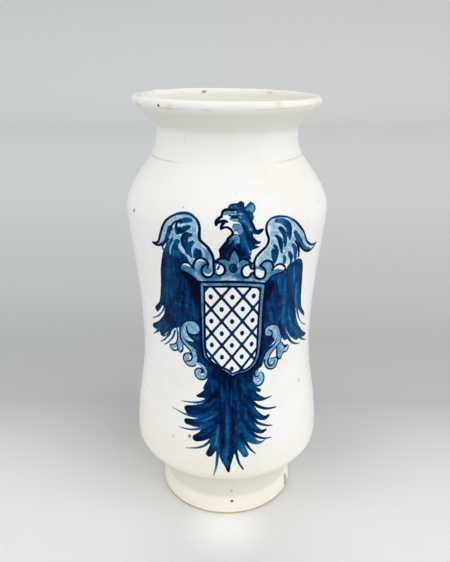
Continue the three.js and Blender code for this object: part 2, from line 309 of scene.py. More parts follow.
def thrown_form_tree(settings):
    """Turns the points of a profile, given as radius, bake share and level, into a skin round the jar's axis.
    Its columns are closer on the front. The hand's unevenness only ever moves the skin inwards or down."""
    tree = bpy.data.node_groups.new("Thrown form", "GeometryNodeTree")
    face = tree.interface
    face.new_socket(name="Profile", in_out="INPUT", socket_type="NodeSocketGeometry")
    kinds = {float: "Float", int: "Int", bpy.types.Material: "Material"}
    for name, value in settings.items():
        face.new_socket(name=name, in_out="INPUT", socket_type="NodeSocket" + kinds[type(value)])
    face.new_socket(name="Skin", in_out="OUTPUT", socket_type="NodeSocketGeometry")
    given = tree.nodes.new("NodeGroupInput").outputs
    make = Wiring(tree)
    node, maths, times, plus, minus = make.node, make.maths, make.times, make.plus, make.minus

    rows = node("GeometryNodeAttributeDomainSize", {"Geometry": given["Profile"]})["Point Count"]
    columns = plus(given["Front Columns"], given["Back Columns"])
    across = plus(columns, 1.0)
    grid = node("GeometryNodeMeshGrid", {"Vertices X": rows, "Vertices Y": across})["Mesh"]
    index = node("GeometryNodeInputIndex")["Index"]
    row = maths("FLOOR", maths("DIVIDE", plus(index, 0.5), across))
    column = minus(index, times(row, across))

    # The angle: the front's columns first, centred on the front, and then the back's
    front_step = maths("DIVIDE", given["Front Angle"], given["Front Columns"])
    back_step = maths("DIVIDE", minus(math.tau, given["Front Angle"]), given["Back Columns"])
    in_front = maths("MINIMUM", column, given["Front Columns"])
    behind = minus(column, in_front)
    turned = plus(times(in_front, front_step), times(behind, back_step))
    angle = minus(turned, times(given["Front Angle"], 0.5))
    sine, cosine = maths("SINE", angle), maths("COSINE", angle)

    place = node("GeometryNodeInputPosition")["Position"]
    sampled = node(
        "GeometryNodeSampleIndex",
        {"Geometry": given["Profile"], "Index": row, "Value": place},
        data_type="FLOAT_VECTOR",
    )["Value"]
    parts = node("ShaderNodeSeparateXYZ", {"Vector": sampled})
    radius, share, level = parts["X"], parts["Y"], parts["Z"]

    # Slow unevenness, read at one radius so that every skin of the jar moves alike
    reading = node(
        "ShaderNodeCombineXYZ",
        {
            "X": times(sine, given["Rim Radius"]),
            "Y": times(cosine, given["Rim Radius"]),
            "Z": times(level, 0.6),
        },
    )["Vector"]
    scale = maths("DIVIDE", 1.0, given["Swell Size"])
    slow = node(
        "ShaderNodeTexNoise",
        {"Vector": reading, "W": given["Seed"], "Scale": scale, "Detail": 2.0},
        noise_dimensions="4D",
    )[0]
    uneven = times(minus(1.0, slow), given["Swell"])
    wave = maths("SINE", plus(maths("DIVIDE", times(level, math.tau), given["Ring Pitch"]), angle))
    rings = times(minus(1.0, times(wave, slow)), given["Ring Depth"])
    free = times(make.step(radius, *STILL_MIDDLE), make.step(level, *STILL_FOOT))
    inwards = times(plus(uneven, rings), free)
    worked = minus(radius, inwards)

    # The rim sinks towards the right
    upper = make.step(level, times(given["Rim Level"], TILT_START), given["Rim Level"])
    rightwards = times(plus(sine, 1.0), 0.5)
    sinks = times(times(given["Rim Tilt"], upper), rightwards)
    point = node(
        "ShaderNodeCombineXYZ",
        {
            "X": times(worked, sine),
            "Y": times(worked, times(cosine, -1.0)),
            "Z": minus(level, sinks),
        },
    )["Vector"]

    # The bake map gives the painted front its own share of the width
    front_share = maths("DIVIDE", times(in_front, given["Bake Front"]), given["Front Columns"])
    back_room = minus(1.0, given["Bake Front"])
    back_share = maths("DIVIDE", times(behind, back_room), given["Back Columns"])
    flat = node("ShaderNodeCombineXYZ", {"X": plus(front_share, back_share), "Y": share})["Vector"]
    mapped = node(
        "GeometryNodeStoreNamedAttribute",
        {"Geometry": grid, "Name": "OFBake", "Value": flat},
        data_type="FLOAT2",
        domain="CORNER",
    )["Geometry"]
    turned_skin = node("GeometryNodeSetPosition", {"Geometry": mapped, "Position": point})["Geometry"]
    closed = node("GeometryNodeMergeByDistance", {"Geometry": turned_skin, "Distance": SAME_POINT})["Geometry"]
    smooth = node("GeometryNodeSetShadeSmooth", {"Geometry": closed, "Shade Smooth": True})["Geometry"]
    real = node("GeometryNodeRealizeInstances", {"Geometry": smooth})["Geometry"]
    done = node("GeometryNodeSetMaterial", {"Geometry": real, "Material": given["Finish"]})["Geometry"]
    tree.links.new(done, tree.nodes.new("NodeGroupOutput").inputs[0])
    return tree


def throw(name, profile, shares, finish, bake_front=0.5):
    """A skin turned from the profile, as a plain mesh whose faces point outwards."""
    scene = bpy.context.scene
    jar, hand = scene.albarello_sizes, scene.albarello_hand
    line = bpy.data.meshes.new(name + "_profile")
    line.from_pydata([(r, share, z) for (r, z), share in zip(profile, shares)], [], [])
    turning = bpy.data.objects.new(name + "_turning", line)
    scene.collection.objects.link(turning)
    settings = {
        "Front Angle": hand.front_angle,
        "Front Columns": hand.front_columns,
        "Back Columns": hand.back_columns,
        "Swell": hand.swell,
        "Swell Size": hand.swell_size,
        "Ring Depth": hand.ring_depth,
        "Ring Pitch": hand.ring_pitch,
        "Rim Tilt": hand.rim_tilt,
        "Rim Level": float(levels_of(jar)["rim"]),
        "Rim Radius": jar.lip_under_radius,
        "Bake Front": bake_front,
        "Seed": UNEVEN_SEED,
        "Finish": finish,
    }
    tree = bpy.data.node_groups.get("Thrown form") or thrown_form_tree(settings)
    modifier = turning.modifiers.new("Thrown form", "NODES")
    modifier.node_group = tree
    for item in tree.interface.items_tree:
        if item.in_out == "INPUT" and item.name in settings:
            modifier[item.identifier] = settings[item.name]
    bpy.context.view_layer.update()
    graph = bpy.context.evaluated_depsgraph_get()
    mesh = bpy.data.meshes.new_from_object(turning.evaluated_get(graph), depsgraph=graph)
    bpy.data.objects.remove(turning)
    mesh.name = name
    if not mesh.polygons:
        raise RuntimeError(f"{name} came out empty")
    if volume(mesh) < 0:
        mesh.flip_normals()
    piece = bpy.data.objects.new(name, mesh)
    scene.collection.objects.link(piece)
    return piece


def volume(mesh):
    """Volume inside a closed mesh, which is negative where its faces point inwards."""
    mesh.calc_loop_triangles()
    corners = np.array([triangle.vertices for triangle in mesh.loop_triangles])
    place = points_of(mesh)
    a, b, c = (place[corners[:, k]] for k in range(3))
    return float(np.einsum("ij,ij->i", a, np.cross(b, c)).sum() / 6)


def points_of(mesh):
    """Every vertex of the mesh, as rows of X, Y and Z."""
    flat = np.empty(len(mesh.vertices) * 3, np.float32)
    mesh.vertices.foreach_get("co", flat)
    return flat.reshape(-1, 3).astype(float)


def bead(start, end, bulge, steps=5):
    """The rounded end of a coat, from one of its faces to the other, pushed out by the bulge."""
    start, end = np.array(start, float), np.array(end, float)
    turn = np.linspace(0, math.pi, steps + 2)[1:-1, None]
    middle = (start + end) / 2
    return middle + (start - middle) * np.cos(turn) + np.array(bulge, float) * np.sin(turn)


# The jar's three skins

# Room between the clay and a coat of glaze, and how far a coat's edge sinks as a share of its thickness
SEAM, TUCKED = 0.1 * MM, 0.9
# Spacing of a profile's points: how far a chord may stray from its curve, and the widest step
HIDDEN_SKIN, CLAY_SKIN = (0.1 * MM, 7 * MM), (0.05 * MM, 6 * MM)
INNER_SKIN, OUTER_SKIN = (0.012 * MM, 2.4 * MM), (0.012 * MM, 1.7 * MM)
NARROWEST = 0.5 * MM
# Levels between which the outer coat's points draw closer for the painting, and between which they part again
PAINTED_FROM, PAINTED_TO = (0.036, 0.046), (0.226, 0.236)
PAINTED_CLOSER = 0.98 * MM


def spacing_of(profile, error, widest):
    """Spacing that keeps a chord within error of the curve, and never wider than widest."""
    along = np.gradient(profile, axis=0)
    length = np.linalg.norm(along, axis=1)
    bend = np.linalg.norm(np.gradient(along / length[:, None], axis=0), axis=1) / length
    return np.clip(np.sqrt(8 * error / np.maximum(bend, 1e-3)), NARROWEST, widest)


def run_of(profile):
    """Length along the profile up to each of its points."""
    return np.concatenate([[0], np.cumsum(np.linalg.norm(np.diff(profile, axis=0), axis=1))])


def clay_profile(jar):
    """The pot itself: from the middle of its underside, round the foot ring, up, over the lip and down to the
    floor."""
    skin = jar.glaze + SEAM
    stand = jar.foot_radius - 0.4 * MM
    ring = stand - jar.foot_ring
    under = [[0, jar.foot_recess], [ring - MM, jar.foot_recess], [ring, 0.3 * MM], [ring + 0.4 * MM, 0]]
    under += [[stand - jar.foot_edge, 0], [stand - 0.15 * MM, 0.2 * MM], [stand, jar.foot_edge]]
    under += [[stand, jar.bare_band + 0.3 * MM]]
    outside = outside_profile(jar)
    outside = sunk(outside, skin)[outside[:, 1] > jar.bare_band + 1.2 * MM]
    inside = sunk(inside_profile(jar), skin)
    above = np.concatenate([outside, inside[1:]])
    return np.concatenate([under, spaced(above, spacing_of(above, *CLAY_SKIN))])


def outer_coat_profile(jar):
    """The outer coat, closed: down its back, round the bead at the foot, up its face, over the crest and
    under the inner coat's edge. Returns the profile and where its face starts."""
    outside, inside = outside_profile(jar), inside_profile(jar)
    over = inside[1 : np.argmax(run_of(inside) > 5 * MM)]
    face = np.concatenate([outside, over])
    tuck = jar.glaze * TUCKED * ease(run_of(face) - run_of(outside)[-1], 1.6 * MM, 4.8 * MM)
    back = sunk(face, jar.glaze)[::-1]
    face = sunk(face, tuck)
    painted = ease(face[:, 1], *PAINTED_FROM) * (1 - ease(face[:, 1], *PAINTED_TO))
    spacing = np.minimum(spacing_of(face, *OUTER_SKIN), OUTER_SKIN[1] - painted * PAINTED_CLOSER)
    back = spaced(back, spacing_of(back, *HIDDEN_SKIN))
    face = spaced(face, spacing)
    hem = bead(back[-1], face[0], [0, -0.32 * MM])
    return np.concatenate([back, hem, face, back[:1]]), len(back) + len(hem)


def inner_coat_profile(jar):
    """The inner coat, closed: sunk under the crest, it rises to its face and runs down over the floor."""
    inside = inside_profile(jar)
    inside = inside[np.argmax(run_of(inside) > 1.2 * MM) :]
    rise = jar.glaze * TUCKED * (1 - ease(run_of(inside), 0, 2 * MM))
    face, back = sunk(inside, rise), sunk(inside, jar.glaze)[::-1]
    face = spaced(face, spacing_of(face, *INNER_SKIN))
    back = spaced(back, spacing_of(back, *HIDDEN_SKIN))
    return np.concatenate([back[-1:], face, back])


def even_shares(profile, weight=None):
    """Each row's share of the bake map's height, from the profile's length times the weight."""
    weight = np.ones(len(profile)) if weight is None else weight
    steps = np.linalg.norm(np.diff(profile, axis=0), axis=1) * (weight[1:] + weight[:-1]) / 2
    run = np.concatenate([[0], np.cumsum(steps)])
    return run / run[-1]


# The painting, in millimetres: arc round a jar of 60 mm radius from its front, and level above the table

PAINTED_RADIUS = 60.0
PAINTED_ARC, PAINTED_BOTTOM, PAINTED_TOP = 76, 40, 234
LAYERS = ("wash", "fill", "line")

# Strength of the cobalt, from bare glaze at 0 to the thickest at 1
WASH, MID, DEEP, NAVY, INK = 0.45, 0.67, 0.78, 0.9, 1.0

# How far inside a layer a point lies: away from any stroke, from where it counts as covered, and from where a
# stroke on bare glaze leaves its strength. REACH is how far round a stroke the points are looked for.
FAR_OUT, COVERED, SKIRT, REACH = -9.0, -0.3, -1.5, 3


def flowing(points, steps=5):
    """A smooth line through the points."""
    points = np.array(points, float)
    if len(points) < 3:
        return points
    ends = [2 * points[0] - points[1]], [2 * points[-1] - points[-2]]
    points = np.concatenate([ends[0], points, ends[1]])
    a, b, c, d = points[:-3], points[1:-2], points[2:-1], points[3:]
    t = np.arange(steps)[:, None, None] / steps
    curve = b + ((c - a) * t + (2 * a - 5 * b + 4 * c - d) * t**2 + (3 * b - a - 3 * c + d) * t**3) / 2
    return np.concatenate([curve.transpose(1, 0, 2).reshape(-1, 2), points[-2:-1]])


def each(act, *rows, **settings):
    """Does the same act with every row of values."""
    for row in rows:
        act(*row, **settings)


class Sheet:
    """The jar's painted face laid flat. For each of its points it holds how far inside each layer of cobalt the
    point lies, how strong the layer is there and how the brush ran."""

    def __init__(self, points):
        self.points = points
        self.inside = {layer: np.full(len(points), FAR_OUT) for layer in LAYERS}
        self.depth = {layer: np.zeros(len(points)) for layer in LAYERS}
        self.brush = np.zeros((len(points), 3))
        self.strokes = 0

    def near(self, path, reach):
        low, high = path.min(0) - reach, path.max(0) + reach
        return np.flatnonzero(((self.points > low) & (self.points < high)).all(1))

    def along(self, path, widths):
        """Points near a stroke: which they are, how far inside it, how far across and how far along."""
        path = flowing(path)
        rows = self.near(path, max(widths) / 2 + REACH)
        start, way = path[:-1], np.diff(path, axis=0)
        length = np.linalg.norm(way, axis=1)
        run = np.concatenate([[0], np.cumsum(length)])
        half = np.interp(run, np.linspace(0, run[-1], len(widths)), widths) / 2
        offset = self.points[rows][:, None] - start
        t = np.clip((offset * way).sum(-1) / length**2, 0, 1)
        inside = half[:-1] + t * np.diff(half) - np.linalg.norm(offset - t[..., None] * way, axis=-1)
        best = inside.argmax(1)
        pick = np.arange(len(rows)), best
        across = (way[best, 0] * offset[pick][:, 1] - way[best, 1] * offset[pick][:, 0]) / length[best]
        return rows, inside[pick], across, run[best] + t[pick] * length[best]

    def within(self, *runs):
        """Points near the closed outline of the runs, which meet in corners: which they are, how far inside."""
        outline = np.concatenate([flowing(run) for run in runs])
        rows = self.near(outline, REACH)
        points = self.points[rows][:, None]
        way = np.roll(outline, -1, axis=0) - outline
        offset = points - outline
        t = np.clip((offset * way).sum(-1) / np.maximum((way**2).sum(-1), 1e-9), 0, 1)
        far = np.linalg.norm(offset - t[..., None] * way, axis=-1).min(1)
        rise = np.where(np.abs(way[:, 1]) < 1e-9, 1e-9, way[:, 1])
        spans = (outline[:, 1] > points[..., 1]) != (outline[:, 1] + way[:, 1] > points[..., 1])
        left = points[..., 0] < outline[:, 0] + offset[..., 1] * way[:, 0] / rise
        return rows, np.where((spans & left).sum(1) % 2, far, -far)

    def lay(self, layer, rows, inside, depth, brush=None):
        known, depths = self.inside[layer], self.depth[layer]
        covered = known[rows] > COVERED
        share = np.where(covered, ease(inside, -0.5, 0.3), inside > SKIRT)
        depths[rows] += (depth - depths[rows]) * share
        if brush is not None:
            self.strokes += 1
            taken = inside > np.where(covered, 0, SKIRT)
            seed = np.full(len(rows), self.strokes * 7.0)
            self.brush[rows[taken]] = np.column_stack([*brush, seed])[taken]
        known[rows] = np.maximum(known[rows], inside)

    def wash(self, depth, *runs):
        """A thin flat wash inside the runs."""
        rows, inside = self.within(*runs)
        self.lay("wash", rows, inside, depth)

    def fill(self, depth, lean, *runs):
        """Brushed cobalt inside the runs, its strokes leaning so many degrees from upright."""
        rows, inside = self.within(*runs)
        side = heading(lean)
        up = np.array([-side[1], side[0]])
        self.lay("fill", rows, inside, depth, (self.points[rows] @ side, self.points[rows] @ up))

    def stroke(self, depth, widths, *path, layer="fill"):
        """One pull of the brush along the path. Its width runs through widths, and its strength through depth
        where that is a row of values."""
        rows, inside, across, along = self.along(path, widths)
        if np.ndim(depth):
            depth = np.interp(along, np.linspace(0, max(along.max(), 1e-6), len(depth)), depth)
        self.lay(layer, rows, inside, depth, (across, along) if layer == "fill" else None)

    def ink(self, width, *path, depth=INK):
        """A dark line about as wide as width that starts and ends a little thinner."""
        rows, inside, *_ = self.along(path, (width * 1.05, width * 1.32, width * 1.26, width))
        self.lay("line", rows, inside, depth)

    def lift(self, widths, *path):
        """Leaves the glaze bare along the path, under whatever line is drawn later."""
        rows, inside, *_ = self.along(path, widths)
        self.clear(rows, inside)

    def lift_area(self, *runs):
        """Leaves the glaze bare inside the runs."""
        self.clear(*self.within(*runs))

    def patch(self, depth, *runs):
        """A wash on glaze that is left bare first."""
        self.lift_area(*runs)
        self.wash(depth, *runs)

    def clear(self, rows, inside):
        for layer in ("wash", "fill"):
            self.inside[layer][rows] = np.minimum(self.inside[layer][rows], -inside)

    def tone(self, change, widths, *path, layer="fill"):
        """Makes the layer stronger or weaker along a soft streak."""
        rows, inside, *_ = self.along(path, widths)
        self.depth[layer][rows] += change * ease(inside, -1.1, 0.9)


def left_wing(sheet):
    """The wing raised on the left: a pale arc, a darker band inside it and short curled feathers."""
    arc = [
        (-45.4, 199.4), (-43.5, 199.5), (-41.5, 200.3), (-40.3, 201.6), (-39.4, 203.6), (-38.2, 206.7),
        (-37, 209.8), (-35.7, 212.4), (-34.4, 214.4), (-32.5, 216.3), (-30, 218), (-27, 219.3), (-23.5, 220),
        (-20.5, 219.8), (-18, 218.7), (-16, 217), (-14.9, 215), (-14.4, 212.5), (-14.6, 209.5), (-14.6, 207),
        (-14, 205.3), (-12, 203.3), (-10.3, 201.5), (-8.8, 199), (-7.8, 196.5), (-7.4, 194), (-7.4, 190.5),
        (-7.2, 187),
    ]
    tip = [
        (-45.4, 199.1), (-43.5, 198.5), (-41, 198.6), (-39, 199.2), (-37.2, 200), (-36, 201.3), (-34.5, 202.7),
        (-33, 203.9),
    ]
    foot = [(-7.2, 187), (-12, 188), (-20, 190), (-27, 191), (-33, 192.5), (-38, 195.8), (-38, 197.6), (-37.2, 200)]
    sheet.wash(0.31, arc, foot, tip[4::-1])
    band = [
        (-40.3, 199.9), (-37.6, 201.4), (-35.8, 203.8), (-34.8, 206.3), (-33.8, 209), (-32.8, 211.4),
        (-31.2, 212.7),
    ]
    band_back = [
        (-30.2, 212.4), (-30.6, 210), (-31.6, 207), (-33, 204.4), (-34.6, 202.6), (-37, 200.4), (-40.3, 199.5),
    ]
    sheet.fill(MID, 25, band, band_back)
    sheet.fill(
        MID, -20, [(-37.8, 196.4), (-36.6, 198), (-35, 200.2), (-33, 202.7), (-30.6, 205.4), (-29.7, 204.9)],
        [(-30.6, 202), (-28.4, 204.6), (-26.6, 204.9)],
        [(-25.6, 203.8), (-27.4, 200.4), (-26, 197.6), (-23, 195.2), (-21.6, 192.6), (-21, 190.4)],
        [(-27, 190.6), (-33, 192), (-37.8, 196.4)],
    )
    each(
        sheet.stroke,
        (MID, (1.6, 2.8, 3, 2.2), (-25.3, 215.4), (-23, 216.1), (-20.8, 216.5), (-19.4, 216.4)),
        (NAVY, (1.2, 2.1, 1.5), (-26.8, 215), (-25.3, 215.7), (-24.9, 214.7)),
        (NAVY, (1.1, 1.7, 1.6, 0.9), (-27.4, 214.2), (-27.7, 211.8), (-27.6, 209.4), (-26.9, 207.4)),
        (DEEP, (2.3, 2.9, 3.8, 4, 2.6), (-20.3, 212.8), (-22.2, 211.9), (-24.4, 210.6), (-26.2, 209.9),
         (-27.2, 208.8)),
        (NAVY, (2, 2.8, 1.6), (-24.4, 209.8), (-25.8, 210.4), (-27, 211.2)),
        (DEEP, (2.2, 2.8, 3.6, 3.6, 2.4, 1.6), (-19.4, 208.2), (-21.2, 208), (-22.6, 205.8), (-23, 203),
         (-22.2, 199.6), (-20.8, 196.4)),
        (DEEP, (2.2, 2.7, 2.6, 2, 1), (-18.5, 204), (-19.9, 202.4), (-20.8, 199.8), (-20.4, 197), (-19.6, 194.6)),
        (DEEP, (2.2, 3.2, 2.6), (-16.7, 199.7), (-17, 197.6), (-17.2, 195.2)),
        (DEEP, (1.8, 2.6, 2), (-14.8, 199.2), (-14.5, 197.3), (-14.6, 195.1)),
    )
    each(
        sheet.stroke,
        (WASH, (1.6, 2.6, 3), (-12, 200.6), (-10.4, 197.4), (-9.4, 193)),
        (0.32, (2.6, 3, 2), (-17.2, 213.4), (-16.8, 210.8), (-17, 208)),
        (0.33, (2, 2.4), (-16.4, 204.4), (-13.6, 201.4)),
        (0.34, (2.6, 2.4), (-28.6, 206.6), (-26, 205.6)),
        layer="wash",
    )
    each(
        sheet.lift,
        ((0.4, 0.9, 0.4), (-29.2, 210.4), (-29.3, 211.8), (-28.7, 213.2)),
        ((1, 1.2), (-26.4, 213.3), (-26.1, 213.1)),
        ((0.7, 0.8, 0.5), (-24.2, 214), (-24.5, 213.2), (-24.2, 212.4)),
        ((0.5, 1, 0.7), (-26.6, 207.2), (-25.6, 207.6), (-24.6, 207.3)),
        ((0.5, 0.8, 1.1, 0.9), (-29.4, 203.8), (-31.2, 201), (-32.5, 198), (-33, 194.3)),
        ((0.9, 1.3, 0.8), (-35.6, 199.9), (-35.9, 199), (-36.4, 198)),
        ((0.6, 1.5, 1, 0.4), (-26.8, 199.8), (-24.9, 199.3), (-23.8, 197.2), (-22.8, 195.6)),
        ((1.2, 1.4, 0.8), (-21.4, 195), (-21, 193), (-19.9, 190.8)),
        ((0.8, 0.9), (-18.8, 194), (-18, 193.2)),
        ((0.5, 0.9, 0.5), (-15.6, 214.6), (-15.8, 211.5), (-15.7, 208.5)),
        ((0.5, 1, 0.5), (-14.6, 204), (-12.6, 202), (-11, 200)),
        ((0.5, 0.8, 0.6), (-30.2, 189.9), (-29.8, 189.2)),
        ((0.3, 0.5, 0.3), (-20.4, 205.6), (-21, 203.8), (-21.2, 201.8)),
    )
    each(
        sheet.stroke,
        (0.3, (0.9, 1.4, 1.7, 1.3), (-29.4, 203.8), (-31.2, 201), (-32.5, 198), (-33, 194.3)),
        (0.2, (0.8, 1.8, 1.2, 0.5), (-26.8, 199.8), (-24.9, 199.3), (-23.8, 197.2), (-22.8, 195.6)),
        (0.24, (1.4, 1.6, 1), (-21.4, 195), (-21, 193), (-19.9, 190.8)),
        layer="wash",
    )
    sheet.stroke(DEEP, (2, 2.4), (-29, 191.8), (-27, 190.4))
    each(
        sheet.tone,
        (0.1, (4, 5, 5, 4), (-36, 197.6), (-31, 196), (-27, 198), (-23.4, 193.6)),
        (0.16, (1, 2, 1), (-31.4, 212), (-31.8, 210.6), (-32.6, 208.8)),
        (0.12, (2, 2.4, 2), (-27.4, 203.8), (-28.6, 201.6), (-30, 199.4)),
        (0.14, (2, 2, 2), (-34, 192.6), (-29, 192.4), (-23.6, 192)),
        (-0.1, (2, 2.4), (-31, 196.6), (-28, 196.4)),
    )
    sheet.ink(1.2, *arc[:11])
    sheet.ink(1.25, *arc[10:16], depth=DEEP)
    each(
        sheet.ink,
        (1.35, *arc[15:]), (1.05, *tip),
        (0.8, (-37.3, 199.9), (-38, 197.9), (-37.6, 196.5)),
        (0.85, (-30.4, 209.6), (-30.5, 211.6), (-29.8, 213.4), (-28.5, 214.7), (-26.5, 215.6)),
        (0.85, (-21.3, 209.4), (-23.4, 208.2), (-24.6, 206), (-24.9, 203.5), (-24.3, 201), (-23.1, 199),
         (-22.6, 197.4), (-22.2, 196.3)),
        (0.6, (-33.6, 201.8), (-34.8, 200), (-36.3, 197.4)),
    )


def right_wing(sheet):
    """The wing raised on the right, mirrored but painted afresh, with its tip drawn out level."""
    arc = [
        (15.3, 188.8), (15, 191.5), (15.2, 193.5), (16, 195.5), (17.3, 197.3), (19, 199), (20.5, 200.3),
        (21.7, 202), (22.3, 204), (22.3, 206), (21.6, 208), (20.9, 210), (20.7, 212), (21, 214), (22, 215.7),
        (23.5, 216.9), (25.5, 217.5), (28, 217.7), (31, 217.4), (34, 216.6), (36.5, 215.3), (38.5, 213.9),
        (40.5, 212), (42.5, 210), (44.5, 207.8), (46.3, 205.8), (47.8, 203.3), (49.3, 200.8), (51.3, 198.3),
        (54, 196.3), (57, 195), (60, 194.5), (63, 194.8),
    ]
    tip = [
        (63, 194.6), (61, 193.2), (59.5, 192.3), (57.5, 191.7), (55, 191.5), (52.5, 192), (50, 193), (48, 194.3),
        (46.3, 195.7), (45.2, 197.2), (43.6, 199.2),
    ]
    foot = [(45.4, 194), (45.2, 190.4), (40, 188), (32, 188.5), (26, 189), (20, 189.5), (15.3, 188.8)]
    sheet.wash(0.23, arc, tip, foot)
    each(
        sheet.stroke,
        (0.33, (2.4, 3.6, 2.4), (24.2, 214.6), (25.2, 212.8), (26.8, 211.8)),
        (0.34, (2, 3.2, 2), (24, 208.6), (25, 208.2), (27, 208.6)),
        (0.32, (1.6, 3, 2), (24.8, 204.4), (25.4, 203.2), (26.6, 201.6)),
        (0.32, (2, 4, 3), (23.6, 199.6), (22, 196.4), (23, 193.4)),
        (0.36, (0.8, 1.4, 0.8), (19, 194.6), (19.4, 193.4), (19, 192.4)),
        (0.31, (3, 4.4, 3), (33.8, 201.4), (34, 197.8), (32, 194.4)),
        (0.3, (2, 2.6, 2), (36.6, 204.4), (37.8, 202), (36.4, 198.6)),
        (0.3, (1.4, 3, 3.4, 2.4, 1.2), (35.6, 214.6), (38.8, 211.6), (42.4, 207), (46.8, 201.6), (52, 196)),
        layer="wash",
    )
    each(
        sheet.stroke,
        (MID, (2.2, 3.4, 3.7, 3.6, 2.6, 1.2), (39.2, 207.2), (41, 204.3), (43.6, 201), (46.4, 197.2), (50, 194.3),
         (55.4, 192.8)),
        (MID, (2.2, 3, 3.8, 4.4, 4, 2.4, 1), (26.6, 215.6), (30, 215), (32.8, 213.2), (34.4, 210.6), (35, 207.6),
         (35.6, 205), (35.9, 203)),
        (DEEP, (1, 1.6, 2, 1.8, 0.8), (32.4, 214.6), (34.8, 212.6), (36, 209.4), (36.2, 206), (35.8, 203.4)),
        (DEEP, (2.3, 3, 2.8, 2.3, 1.4), (28.7, 211.2), (30.6, 209), (32, 206), (32.9, 202.8), (33.2, 199.6)),
        (DEEP, (2, 2.8, 2.8, 2.1, 0.9), (26.8, 206.6), (28.5, 204.9), (29.8, 202.2), (30.7, 199), (31.1, 195.6)),
        (DEEP, (1.6, 2.1, 2.2, 1.6, 0.8), (25.9, 201.2), (27, 200), (28, 197.4), (28.4, 194.2), (27.4, 190.8)),
        (DEEP, (1.2, 3, 4, 3, 1), (25.2, 199), (25.8, 197), (26.8, 194.4), (27.2, 192), (27.2, 190)),
        (0.72, (1.8, 2.9, 2.8, 1.8), (36.4, 195.2), (37.5, 193.2), (38.8, 191.2), (38.7, 188.8)),
        (MID, (1.9, 2.7, 1.9), (33.4, 193), (33.9, 191.2), (33.8, 188.9)),
        (0.72, (2, 3, 2.8, 1.8), (38.6, 199.4), (40.1, 197.5), (41.4, 194.6), (42.1, 189.6)),
    )
    each(
        sheet.lift,
        ((0.3, 0.5, 0.3), (30.4, 212.2), (32.2, 210.8), (33.6, 208.4)),
        ((0.6, 1.1, 0.6), (22.4, 213.6), (22.2, 211), (23, 207.6)),
        ((0.5, 0.9, 0.5), (24.6, 206.3), (26, 205.8), (27.6, 203.6)),
        ((0.5, 0.8, 0.4), (28.4, 208.6), (29.8, 207), (31.2, 204)),
        ((0.5, 0.9, 0.5), (37, 209.6), (37.6, 206.4), (38.8, 203.6)),
        ((0.4, 0.9, 0.5), (32.3, 197.8), (32.6, 196.6), (33.3, 195.4)),
        ((0.4, 0.8, 0.4), (43, 196), (43.4, 193.6), (43.6, 190.6)),
        ((0.6, 0.9, 0.4), (54.4, 194.4), (57.4, 193.4), (59.8, 193.2)),
        ((0.5, 0.8, 0.5), (17, 195.6), (16.6, 193), (17, 190.8)),
    )
    each(
        sheet.tone,
        (-0.14, (1.6, 2), (28.2, 215.8), (31, 215)),
        (-0.1, (1, 2, 1.4), (46, 198.4), (48.6, 196), (52, 194.2)),
    )
    each(
        sheet.ink,
        (1.2, *arc[:15]), (1.1, *arc[20:27]), (1.1, *arc[26:]), (1.1, *tip),
    )
    sheet.ink(0.95, *arc[14:21], depth=DEEP)
    each(
        sheet.ink,
        (1.5, (61.2, 194.2), (62.8, 194.7)),
        (1.3, (40.2, 201.3), (42.2, 199), (43.6, 195.8), (44.6, 192.8), (45, 190.6)),
    )


